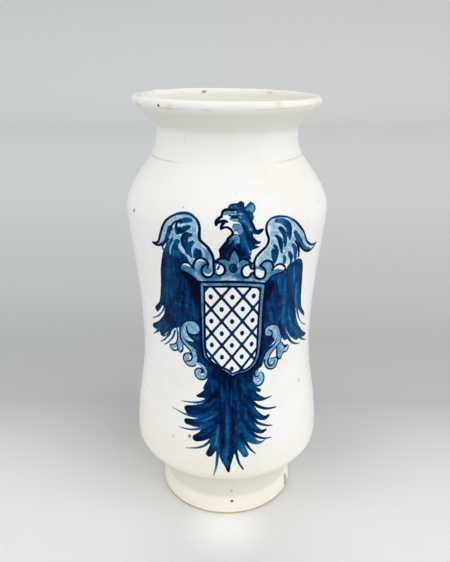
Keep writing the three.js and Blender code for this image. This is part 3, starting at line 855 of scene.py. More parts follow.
def crested_head(sheet):
    """The eagle's head and neck, turned to the left with its beak open, a crest and a ragged nape."""
    beak = [(-5.7, 214.7), (-5.9, 216.1), (-5.2, 217.5), (-4, 218.7), (-2.9, 219.2)]
    brow = [(-2.7, 218.9), (-2.8, 220.4), (-2.4, 221.8), (-1.3, 222.6), (0.5, 222.8), (2.5, 222.6), (5, 222.5)]
    crest = [
        (0.6, 222.8), (0.9, 224.3), (2, 225.2), (4, 225.5), (6, 225.5), (6.8, 226.3), (8, 226.6), (9, 226),
        (9.3, 224.5), (9.8, 223.3),
    ]
    tuft = [
        (9.8, 223.3), (11, 224.5), (12.3, 225.5), (13.3, 226), (14.5, 225.2), (15.2, 223.5), (14.7, 221.8),
        (13.6, 221),
    ]
    throat = [
        (-3.2, 212.5), (-2, 213.3), (-0.5, 213.6), (1, 213.1), (2.2, 212), (2.8, 210.8), (2.8, 209.8), (2.2, 208.8),
        (1, 207.8), (0.3, 206.8), (0.1, 205.8), (-0.8, 204.6), (-2, 203), (-3, 201.5), (-3.8, 200.2), (-3.6, 198.5),
        (-3.5, 197), (-3.6, 195.5),
    ]
    nape = [
        [(13.6, 221), (14, 220), (14.2, 218.5), (13.7, 217), (13.3, 216.5), (14, 215), (14.8, 213), (15.3, 211.9)],
        [(16.8, 211.5), (18.7, 211.8)], [(18.5, 210.8), (17.6, 209.8), (16.4, 208.8), (15, 209), (13.4, 209.7)],
        [(13.8, 207.5), (14.8, 205.8), (16, 204.8), (17.9, 204.3)], [(17.8, 203.4), (16.2, 203), (14.4, 203.2)],
        [(15.5, 202), (17.4, 201.5)],
        [(16.8, 200.7), (14.8, 200.2), (13.2, 199.6), (13.4, 198), (13.6, 196.2), (12.8, 194), (8, 193.4)],
    ]
    sheet.fill(
        0.83, 12, [(5, 222.5), (0.6, 222.8)], crest, [(13.6, 221)], *nape, throat[::-1],
        [(-3.2, 212.5), (1.5, 216.8)],
    )
    sheet.wash(0.39, tuft, [(13.6, 221), (9.8, 223.3)])
    each(
        sheet.stroke,
        (0.48, (1.6, 2.4, 1.4), (10.8, 222.8), (12.4, 223.4), (13.8, 222.6)),
        (MID, (0.6, 1, 0.6), (10.2, 223.8), (12.4, 225), (13.6, 225)),
    )
    face = [
        (-5.4, 216), (-4.8, 217.4), (-3.4, 218.4), (-2, 218.7), (-1.4, 219.6), (0.7, 219.7), (1.3, 218),
        (1.6, 216.9), (3, 216.3), (5, 216.3), (6.6, 215.7), (7.4, 215),
    ]
    jaw = [(7.4, 215), (3, 215.2), (3, 213.5), (3.6, 211.6), (4.6, 210.8), (6.3, 209.9), (6.5, 209.3)]
    chin = [
        (6.5, 209.3), (4.6, 209.7), (3.3, 210.2), (2.8, 211.4), (1.6, 213), (0, 213.8), (-2, 213.6), (-3.2, 212.9),
        (-2.4, 215), (-1.2, 216.6), (-3.4, 216.9), (-5.4, 216),
    ]
    sheet.lift_area(face, jaw, chin)
    sheet.lift((2, 2.8, 2.6, 1.6), (-1.9, 220.6), (0, 221.2), (2.6, 221.4), (4.4, 220.8))
    sheet.stroke(0.44, (2, 2.6, 2.4, 1.4), (-1.7, 220.9), (0.2, 221.4), (2.6, 221.4), (4.2, 220.9), layer="wash")
    sheet.lift((2.2, 3.2, 2.4), (2, 218), (3.4, 217.8), (4.8, 217.6))
    sheet.stroke(0.42, (1.6, 2.8, 2.2), (1.8, 218.2), (3.4, 217.9), (5.2, 217.5), layer="wash")
    sheet.lift((0.4, 1.1, 0.4), (5.6, 220.4), (7, 220.5), (9, 220.2))
    sheet.stroke(0.38, (1.2, 1.5, 1), (4.6, 220.5), (7, 220.5), (9.8, 220.1), layer="wash")
    sheet.lift((2.8, 3.8, 3.4, 1.6), (4.2, 214), (5.6, 213.4), (6.6, 211.8), (7, 210.2))
    sheet.stroke(WASH, (3.4, 4.2, 3.6, 2), (4.2, 214), (5.6, 213.4), (6.6, 211.8), (7, 210), layer="wash")
    sheet.stroke(0.5, (1, 1.6, 1), (3.4, 214.6), (4.6, 214.4), (6, 214.4))
    sheet.lift((1.6, 2.6, 2.4, 1), (1.9, 206.7), (3.4, 207.7), (5, 207.6), (5.9, 204.4))
    sheet.stroke(0.41, (2.2, 3.1, 2.8, 1.4), (1.6, 206.4), (3.4, 207.7), (5, 207.6), (5.9, 204.2), layer="wash")
    sheet.tone(-0.1, (0.6, 1, 0.5), (4.9, 206.8), (5.3, 205.4), (5.8, 203.6), layer="wash")
    for path in ([(2.2, 207), (1.6, 205), (0.4, 203.2)], [(4.4, 206.8), (4.2, 204.4), (4.4, 201.4)]):
        sheet.lift((1.4, 1, 0.3), *path)
        sheet.stroke((0.46, 0.6), (1.6, 1.4, 0.5), *path, layer="wash")
    for spot in ((6.5, 218.8), (8, 225.5), (12.2, 212.1)):
        sheet.tone(-0.5, (0.7, 0.7), spot, (spot[0] + 0.2, spot[1] - 0.1))
    each(
        sheet.lift,
        ((0.6, 0.6), (7.9, 225.5), (8.1, 225.5)),
        ((0.2, 0.6, 0.5), (11.2, 200.6), (12.4, 198.4), (12.9, 195.4)),
        ((0.3, 0.8, 0.6), (6.6, 215.7), (4.4, 216), (1.4, 216.8)),
    )
    each(
        sheet.tone,
        (-0.26, (0.7, 1.2, 0.6), (7.4, 216.9), (9.6, 215.8), (11.4, 213.4), (13.2, 210.8)),
        (-0.2, (0.6, 0.9, 0.5), (8.6, 211.6), (9.2, 209), (10, 206.6)),
        (-0.3, (0.5, 0.9, 1, 0.6), (9.6, 205.4), (10.4, 202.6), (11.5, 199), (12.3, 196.4)),
        (-0.24, (0.5, 0.9, 0.4), (0.8, 206.4), (0.2, 204.8), (-0.8, 202.8)),
        (-0.14, (0.6, 1, 0.5), (7.6, 204.4), (8.2, 201.6), (8.2, 198.4)),
        (-0.14, (0.6, 1, 0.5), (3.4, 203.4), (2, 200.8), (0.6, 198)),
        (-0.2, (0.8, 1.3, 0.8), (1.4, 223.8), (3, 224.2), (5.8, 223.9)),
        (-0.1, (1.6, 2.6, 2.4, 1.2), (5.6, 221.8), (8, 220), (10, 217.4), (11.4, 214)),
        (-0.1, (0.8, 1.4, 0.8), (6.4, 217.6), (8, 216.4), (9.2, 214.6)),
        (-0.1, (1, 1.8, 1), (7.2, 209.6), (8.2, 207.6), (8.6, 205.4)),
        (-0.1, (1.6, 3, 1.6), (10.8, 220.4), (12.4, 219), (12.8, 217.6)),
        (0.16, (0.6, 1.1, 0.6), (9.6, 221.4), (11.6, 218.4), (12.8, 215.4)),
        (0.14, (0.6, 1, 0.6), (8, 213.6), (9.6, 209.8), (11, 206)),
        (0.14, (0.5, 1, 0.5), (6.6, 218), (8.6, 214.8), (9.8, 211)),
        (0.12, (0.5, 1, 0.5), (8.6, 223.4), (10.2, 220.8), (11.2, 218)),
        (0.14, (2, 2.4, 1.6), (8.4, 214.4), (9.4, 214.4), (9, 212.6)),
        (0.14, (0.8, 1.4, 0.8), (12.6, 216.8), (13.6, 214.6), (14.6, 212.2)),
        (0.12, (4, 6, 5), (-1.4, 199), (2, 203.4), (8, 199)),
        (0.12, (1, 1.6, 1), (10.8, 208.6), (12.4, 205.6), (14, 203.6)),
    )
    each(
        sheet.ink,
        (1.35, *beak), (1.1, *brow),
        (1.1, (-5.2, 215.6), (-4, 216.4), (-2.5, 217), (-1, 217.1), (0.2, 216.4)),
        (1.3, (-1.3, 216.3), (-2.5, 215.1), (-3.1, 213.6), (-3.2, 212.7)),
        (1.15, *throat),
    )
    sheet.ink(0.65, *crest, depth=NAVY)
    sheet.ink(0.6, (6.2, 224.3), (7.6, 224.6), (8.3, 225.2), (7.7, 225.7))
    sheet.ink(0.75, *tuft, depth=DEEP)
    each(
        sheet.ink,
        (0.75, (0.8, 220), (2.2, 219.6), (4.3, 219.6), (5.5, 219), (5.9, 217.8)),
        (0.7, (2, 218.5), (3.2, 218.5), (4.5, 218.3)),
    )
    for path in (nape[1] + nape[2][:3], nape[3], nape[5]):
        sheet.ink(0.7, *path)


def crown(sheet):
    """The open crown behind the shield's top: lobes, four volutes and a leaf, as pale ribbons inked at both
    sides."""
    lobe_one = [
        (-27.2, 187), (-26.8, 189), (-25.5, 190.3), (-23.5, 191), (-21.5, 190.6), (-20.2, 189.5), (-19.2, 188.1),
    ]
    lobe_two = [
        (-19, 188.3), (-18.8, 190.3), (-17.7, 192.7), (-16, 194.3), (-14, 194.8), (-12.3, 194.3), (-11, 193),
        (-10.5, 191.4),
    ]
    volute_one = [
        (-10.5, 191.3), (-12, 190.7), (-13.7, 189), (-14.3, 187), (-14, 184.8), (-12.7, 183.2), (-11, 182.8),
        (-9.3, 183.3), (-8, 184.8), (-7.3, 186.5), (-7.2, 188.3),
    ]
    volute_two = [
        (-6, 192.8), (-4.5, 192.3), (-2.7, 191.2), (-1.5, 189.7), (-1.1, 187.8), (-1.7, 186), (-3, 184.8),
        (-4.7, 184.4), (-6.4, 185.2),
    ]
    brow = [(-6, 192.9), (-5.2, 194.3), (-3.3, 195), (-1, 195), (0.8, 194.1)]
    leaf = [(0.9, 194), (1.4, 196.5), (2.3, 199), (3.6, 200.7), (5, 199.5), (6.2, 197), (6.8, 194.5), (6.8, 193)]
    brow_right = [(6.9, 194.2), (9.5, 194.4), (11.5, 193.5), (12.9, 192), (12.8, 190.9), (11.2, 190.8)]
    volute_three = [
        (11.2, 190.8), (9.3, 190), (8.2, 188.3), (8.1, 186), (8.8, 184), (10.3, 182.8), (12, 183), (13.4, 184.3),
        (14.9, 185.8),
    ]
    volute_four = [
        (15.2, 189.5), (15.4, 187), (15.5, 184.5), (16.3, 182.5), (18, 181.3), (20, 181), (21.5, 182), (22, 184),
        (21.5, 186.5), (20.3, 188), (18.8, 189.5),
    ]
    lobe_three = [
        (18.6, 189.8), (19.8, 191.2), (21.5, 192.2), (23.5, 192), (25.3, 191), (26.2, 189.5), (26.6, 187.5),
        (26.3, 186.2),
    ]
    lobe_four = [(26.3, 186), (27.3, 187.3), (28.8, 188.5), (30.8, 188.7), (33, 187.9), (34.6, 186.3), (35.8, 184)]
    under_left = [(-27.2, 187), (-26.3, 185.5), (-23.5, 184.5), (-21, 183.3), (-18.5, 181.5), (-16.3, 179.5)]
    under_right = [(23.2, 178.8), (25.5, 181), (28, 182.2), (31, 182.8), (34, 183.3), (35.8, 184)]
    whole = [
        lobe_one, lobe_two, [(-10.5, 191.4), (-7.3, 190.5), (-6, 192.9)], brow, leaf, brow_right[:4], [(12.9, 192)],
        [(15.2, 189.5), (18.6, 189.8)], lobe_three, lobe_four, under_right[::-1], [(12, 180), (0, 180.5)],
        under_left[::-1],
    ]
    sheet.patch(0.49, *whole)
    each(
        sheet.tone,
        (0.12, (2, 4, 2), (-13, 181.6), (-8, 182.4), (-4.6, 183)),
        (0.12, (2, 4, 2), (5.8, 184.4), (7.4, 183.4), (9, 181.6)),
        (-0.16, (1, 1.4, 1), (-14, 181), (0, 181.9), (14, 181)),
        (-0.12, (2, 2.4, 2), (-2.4, 182.4), (0.6, 183), (4, 181.8)),
        (-0.12, (1.4, 2.4, 1.4), (-17.6, 184.6), (-16.4, 182.4), (-14, 181.4)),
        (-0.12, (2, 3, 2), (17, 180.2), (21, 180), (24, 182)),
        (-0.14, (2, 2.6, 2), (-17.4, 189), (-16.4, 191), (-14.6, 191.6)),
        (-0.12, (2, 3, 2), (21.4, 190), (23.4, 188.6), (24.2, 186)),
        (-0.16, (1.4, 2, 1.4), (-9.2, 193.4), (-8.8, 190.6), (-8.8, 188.6)),
        layer="wash",
    )
    each(
        sheet.lift,
        ((0.8, 1.6, 0.8), (-25.3, 189.6), (-23.4, 189.9), (-20.9, 189)),
        ((0.6, 1.2, 0.6), (-16.9, 192.3), (-14.9, 193.6), (-12.4, 192.7)),
        ((0.5, 1, 1, 0.4), (-13.2, 186.4), (-11.8, 184.6), (-9.6, 184.6), (-8.3, 186.6)),
        ((3.4, 4.3, 3), (-4.3, 190), (-4, 187.9), (-4, 186.2)),
        ((3.4, 4.6, 3.2), (11.4, 189), (11, 187), (10.9, 184.9)),
        ((1.2, 1.2), (13.2, 186.8), (14.4, 186.8)),
        ((2.2, 4, 4, 1.6), (17, 186.6), (18, 185), (19.4, 183.8), (20.4, 185.4)),
        ((1.4, 2.5, 1.6), (27.8, 186.4), (30.6, 187), (33.6, 185.3)),
        ((0.3, 0.45, 0.3), (5.9, 192.6), (6.1, 190.8), (5.7, 189)),
        ((0.4, 0.6, 0.4), (16.2, 191.6), (16.4, 190), (17.4, 189.4)),
    )
    sheet.stroke(MID, (2.4, 3.2, 2.4), (3.3, 190.6), (3.4, 189), (3.4, 187.4))
    sheet.stroke(NAVY, (1.1, 1.5, 1.1), (3.6, 190.4), (3.7, 189), (3.6, 187.6), layer="line")
    each(
        sheet.ink,
        (0.75, (3.4, 191.7), (2, 190.8), (1.5, 189), (1.9, 187.2), (3.4, 186.3), (4.9, 187.2), (5.3, 189),
         (4.8, 190.8), (3.4, 191.7)),
        (1.1, *lobe_one), (1.1, *lobe_two), (1.15, *volute_one), (1.15, *volute_two), (1.15, *brow), (1.05, *leaf),
        (1.1, *brow_right), (1.15, *volute_three), (1.1, *volute_four), (1.1, *lobe_three), (1.05, *lobe_four),
        (0.9, *under_left), (0.9, *under_right),
        (0.8, (-10.4, 191), (-10.6, 189.8), (-10.8, 188.6)),
        (0.95, (-4.4, 190.6), (-4.6, 189.3), (-5.6, 188)),
        (0.95, (12.5, 189.9), (13.3, 188.3), (15, 187.7)),
    )
    blobs = (-19, 188), (-6.2, 192.9), (0.9, 194), (18.7, 189.7), (26.3, 186), (-10.5, 191.4), (12.9, 191.2)
    for arc, level in blobs:
        sheet.ink(1.7, (arc, level), (arc + 0.1, level))


def shield(sheet):
    """The shield on the eagle's breast: two lines with a pale band between them, round a trellis with a dot in
    each lozenge."""
    top = [(-15.8, 179.4), (0, 180.3), (12, 179.5), (22.8, 177.6)]
    right = [
        (22.8, 177.6), (22.6, 160), (22.8, 145), (22.3, 135), (21.2, 128), (18.5, 122.5), (13, 118.7), (7, 117.5),
        (3.6, 115.8),
    ]
    left = [
        (3.6, 115.8), (2, 117), (-2, 119.8), (-8, 122.8), (-13, 126.5), (-15.5, 130), (-16.3, 140), (-16.2, 165),
        (-15.8, 179.4),
    ]
    field_top = [(-13.3, 176.6), (0, 177.2), (12, 176.6), (19.6, 175)]
    field_right = [(19.6, 175), (19.6, 140), (19, 130), (16.5, 124), (12.5, 120.8), (7.5, 119.6), (3.5, 118.3)]
    field_left = [(3.5, 118.3), (0, 121.3), (-6, 123.5), (-11, 127.5), (-13.6, 133), (-13.8, 150), (-13.3, 176.6)]
    sheet.patch(WASH, top, right, left)
    sheet.lift_area(field_top, field_right, field_left)
    rows, field = sheet.within(field_top, field_right, field_left)
    middle, pitch, bar, dot, lean = np.array([3.1, 145.9]), 10.0, 1.7, 1.5, math.radians(38)
    offset = sheet.points[rows] - middle
    sides = [offset @ np.array([math.cos(lean), side * math.sin(lean)]) for side in (-1, 1)]
    far = [np.abs((side + pitch / 2) % pitch - pitch / 2) for side in sides]
    bars = bar / 2 - np.minimum(*far)
    dots = dot - np.hypot(pitch / 2 - far[0], pitch / 2 - far[1])
    sheet.lay("fill", rows, np.minimum(np.maximum(bars, dots), field + 0.4), 0.86, (sides[0], sides[1]))
    each(
        sheet.ink,
        (1.35, *top), (1.45, *right), (1.3, *left), (1.1, *field_top), (1.1, *field_right),
        (1.1, *field_left),
    )


def left_flight(sheet):
    """The dark flight feathers that hang left of the shield, split at their tips and with loose hairs."""
    top = [
        (-16, 180), (-17.5, 180.6), (-20, 182.5), (-23, 184.3), (-26.8, 185.8), (-27.3, 188.5), (-29, 192),
        (-33, 194.4),
    ]
    edge = [
        (-38, 195.6), (-39.8, 190), (-41.3, 185), (-42.3, 180), (-43, 175), (-44, 170), (-45.2, 165), (-47, 160),
        (-49.5, 157.5), (-52, 155), (-52.5, 153.8),
    ]
    tip = [(-52.5, 153.8), (-51, 152.2), (-50, 151.7), (-48.7, 152.3), (-47, 154), (-45.5, 156.3), (-44.3, 158)]
    second = [(-42.2, 157), (-43.5, 152.5), (-46, 149.5), (-49, 146.3), (-52, 144.3), (-56, 142), (-58, 140.5)]
    second_end = [(-58.2, 139.5), (-57, 138.3), (-54, 138.5), (-51.5, 139.3), (-49.8, 140.2)]
    third = [(-49.5, 137.8), (-48.8, 136), (-47, 135.6), (-45, 136), (-42.5, 138), (-40.5, 139.5)]
    under = [
        (-38, 142), (-36.3, 144), (-34, 145.5), (-31, 146.5), (-29.5, 149), (-25.4, 152.2), (-21, 152.4),
        (-16.3, 150.6),
    ]
    sheet.fill(
        0.84, -12, top, edge, tip, second, second_end, [(-49.5, 137.8)], third, under, [(-16.2, 165), (-16, 180)],
    )
    for widths, *path in (
        ((1.6, 1.3, 0.8), (-42.6, 157.5), (-44.5, 154), (-47, 151.5), (-50, 149), (-53.5, 147), (-57, 145.3)),
        ((3, 2.4, 1, 0.7), (-48.5, 141.5), (-50, 139.8), (-52.5, 137.5), (-55.5, 135.3), (-58.3, 133.5)),
        ((2, 1.4, 0.9), (-39, 140), (-42.5, 136.3), (-45.5, 133.8), (-49.5, 131)),
        ((1.8, 1.3, 0.8), (-35.2, 143), (-37, 138.5), (-39.5, 135.5), (-42.5, 132.5), (-45.5, 130.5)),
        ((1.4, 1.2, 0.9), (-33.4, 146), (-33.3, 142.6), (-33.4, 139)),
    ):
        sheet.stroke((0.76, 0.68, 0.5), widths, *path)
    each(
        sheet.lift,
        ((0.4, 1, 1.2), (-43.8, 158.6), (-46, 155.3), (-48.5, 152.4), (-52, 150)),
        ((0.4, 0.8, 1), (-42.2, 156.8), (-43.7, 154), (-46.1, 151.2), (-48.6, 148.7), (-52, 146.4)),
        ((0.4, 1, 1.4), (-36.7, 143.6), (-37.8, 140.6), (-40, 137.4), (-43, 134.4)),
        ((0.4, 1.2, 1.6), (-34.2, 143.6), (-34.8, 140), (-35.8, 136.8), (-37.8, 134.4)),
        ((0.3, 0.5, 0.3), (-41, 141), (-43.4, 138.6), (-46, 136.6)),
    )
    each(
        sheet.tone,
        (0.24, (2, 5, 4), (-26, 185), (-22.6, 182.6), (-19, 179)),
        (0.16, (7, 7, 3), (-20, 179), (-18.4, 173), (-17.8, 164)),
        (0.07, (5, 7, 5), (-28, 190), (-28, 176), (-30, 160)),
        (0.08, (5, 8, 6), (-42, 158), (-41, 152), (-36, 148)),
        (0.08, (1.6, 3, 3), (-38.6, 192), (-41, 180), (-43.6, 168)),
        (0.14, (2, 2.4, 2), (-46.6, 149), (-51, 145.4), (-57, 141.4)),
        (0.16, (1.6, 2, 1.6), (-48, 157), (-50, 155), (-51.6, 153.4)),
        (-0.12, (2, 3, 2), (-34.6, 190), (-35, 180), (-35.6, 168)),
        (-0.1, (1, 1.6, 1), (-38.6, 178), (-39.4, 168), (-39.4, 160)),
        (-0.1, (1, 1.6, 1), (-31.4, 186), (-31.6, 178), (-32.2, 170)),
        (-0.14, (1.6, 3, 2), (-20.6, 167), (-20.4, 160), (-19.8, 154.6)),
        (-0.12, (1, 1.6, 1), (-24, 172), (-24, 165), (-24.4, 158)),
        (-0.14, (0.6, 1.2, 0.8), (-44, 147), (-49, 143.4), (-54, 140.6)),
        (-0.1, (0.6, 1, 0.6), (-40, 146), (-44, 141), (-47.5, 137.8)),
        (-0.3, (0.9, 0.9), (-32.8, 163), (-32.4, 162.8)),
        (-0.34, (0.9, 0.9), (-30.1, 162.4), (-29.8, 162.1)),
        (-0.3, (0.8, 0.8), (-28, 168.4), (-27.8, 168.2)),
        (-0.3, (0.8, 0.8), (-25.4, 162.8), (-25.2, 162.4)),
        (-0.24, (0.8, 0.8), (-22.8, 153.9), (-22.6, 153.7)),
    )


def right_flight(sheet):
    """The dark flight feathers on the right, which hang a little longer and spread to the side."""
    top = [(22.8, 178.6), (25, 180.5), (28, 182), (32, 183), (35.5, 183.2), (36.5, 186), (38, 188)]
    edge = [
        (40, 188), (42.5, 188.8), (45, 189.3), (48, 187.8), (50, 184.5), (51, 180), (52, 174), (53, 167), (54, 160),
        (55.5, 155), (57.5, 151.5), (60.5, 148.5), (62.3, 145.8),
    ]
    first = [(62, 145.2), (59.5, 145.8), (57, 147.3), (54.5, 149.5), (52.5, 152), (51, 153.4)]
    second = [(50, 150.5), (51.5, 146.5), (54, 142), (57, 138.5), (60.5, 135), (65, 132), (68.3, 130.2)]
    second_end = [(68.3, 129.6), (66, 129), (62, 129.7), (58.5, 131), (56, 131.6)]
    third = [(55.5, 131), (53.5, 130.3), (50.5, 131.5), (47.5, 133.8), (44, 135.6)]
    under = [
        (41, 134.5), (38.5, 137), (37.6, 140), (36.5, 143), (34.6, 146), (32, 147.8), (28.5, 148.4), (24, 146.6),
    ]
    sheet.fill(
        0.75, 12, top, edge, first, second, second_end, third, under, [(22.7, 147), (22.6, 160), (22.8, 178.6)],
    )
    for widths, *path in (
        ((2, 1.5, 1.2, 0.8), (50.2, 153.2), (52.5, 149), (54.5, 145.5), (57.5, 142), (61, 139.5), (66.5, 137)),
        ((2, 1.3, 0.8), (56.5, 131.8), (61, 128.7), (65, 126.5), (70.5, 124.2)),
        ((2, 1.5, 0.8), (43.6, 136), (47, 132), (50.5, 129.5), (54.5, 127.8), (59, 126.3)),
    ):
        sheet.stroke((0.76, 0.66, 0.48), widths, *path)
    each(
        sheet.lift,
        ((0.4, 1, 1.3), (51.6, 153.6), (53.4, 151.2), (55.8, 148.6), (59, 146)),
        ((0.5, 1.1, 1.4), (49.2, 155), (50.4, 150.6), (52.8, 146.2), (55.6, 142.6), (59, 139.6)),
        ((0.3, 0.7, 0.8, 0.4), (40.2, 144.4), (43, 139.4), (46, 135.4), (49.5, 132.2)),
        ((0.4, 0.9, 1.2), (47.6, 134.8), (51, 131.4), (54.5, 129.6)),
        ((0.2, 0.5, 0.2), (44, 149.6), (44.4, 148.4), (45, 147.4)),
    )
    each(
        sheet.tone,
        (0.24, (2, 5, 3), (24, 180), (26, 176), (24.4, 168)),
        (0.12, (2, 3, 2), (24.4, 166), (24.4, 158), (25, 151)),
        (0.08, (5, 8, 5), (28, 176), (30, 166), (32, 154)),
        (0.1, (1.6, 2.4, 2), (40, 186), (44, 186), (48.4, 183.6)),
        (0.1, (2, 2.4, 1.5), (50, 182), (51, 173), (52.6, 163)),
        (0.1, (2, 3, 2), (41, 170), (44.4, 160), (48, 150)),
        (0.16, (1.4, 1.8, 1.4), (56.6, 151), (59.4, 148.4), (61.8, 145.8)),
        (0.12, (1.6, 2.4, 1.6), (52, 147.6), (57, 140), (64, 132)),
        (0.18, (1.4, 1.8, 1.4), (64, 131), (66.4, 130), (68, 129.8)),
        (0.1, (2, 3, 2), (34.6, 150), (37.4, 144), (40, 138.4)),
        (-0.34, (0.6, 0.9, 0.5), (46.4, 172.4), (46.9, 168), (47.8, 163.4)),
        (-0.2, (0.8, 1.2, 0.6), (47.8, 162), (49, 158.4), (50.2, 154.8)),
        (-0.14, (1.4, 2.6, 1.6), (38, 164), (37.6, 156), (38.4, 148)),
        (-0.14, (1, 2, 1), (36.6, 178), (36.6, 170), (36.4, 162)),
        (-0.12, (1, 1.8, 1), (31.6, 179.6), (32.6, 175), (34, 171.6)),
        (-0.12, (1, 1.6, 1), (42.4, 184), (43.4, 176), (43.6, 168)),
        (-0.12, (1, 1.6, 0.8), (41.6, 156), (44, 148), (47.6, 140)),
        (-0.12, (0.8, 1.6, 0.8), (46, 144), (50.4, 138.6), (55, 134.6)),
        (-0.1, (1, 2, 1), (28.6, 156), (28.6, 153.6), (29.4, 151)),
        (-0.26, (0.8, 0.8), (28, 157), (28.4, 156.6)),
        (-0.24, (0.8, 0.8), (33.8, 161.4), (34.2, 161)),
        (-0.24, (0.8, 0.8), (27.6, 163.2), (28, 163)),
    )


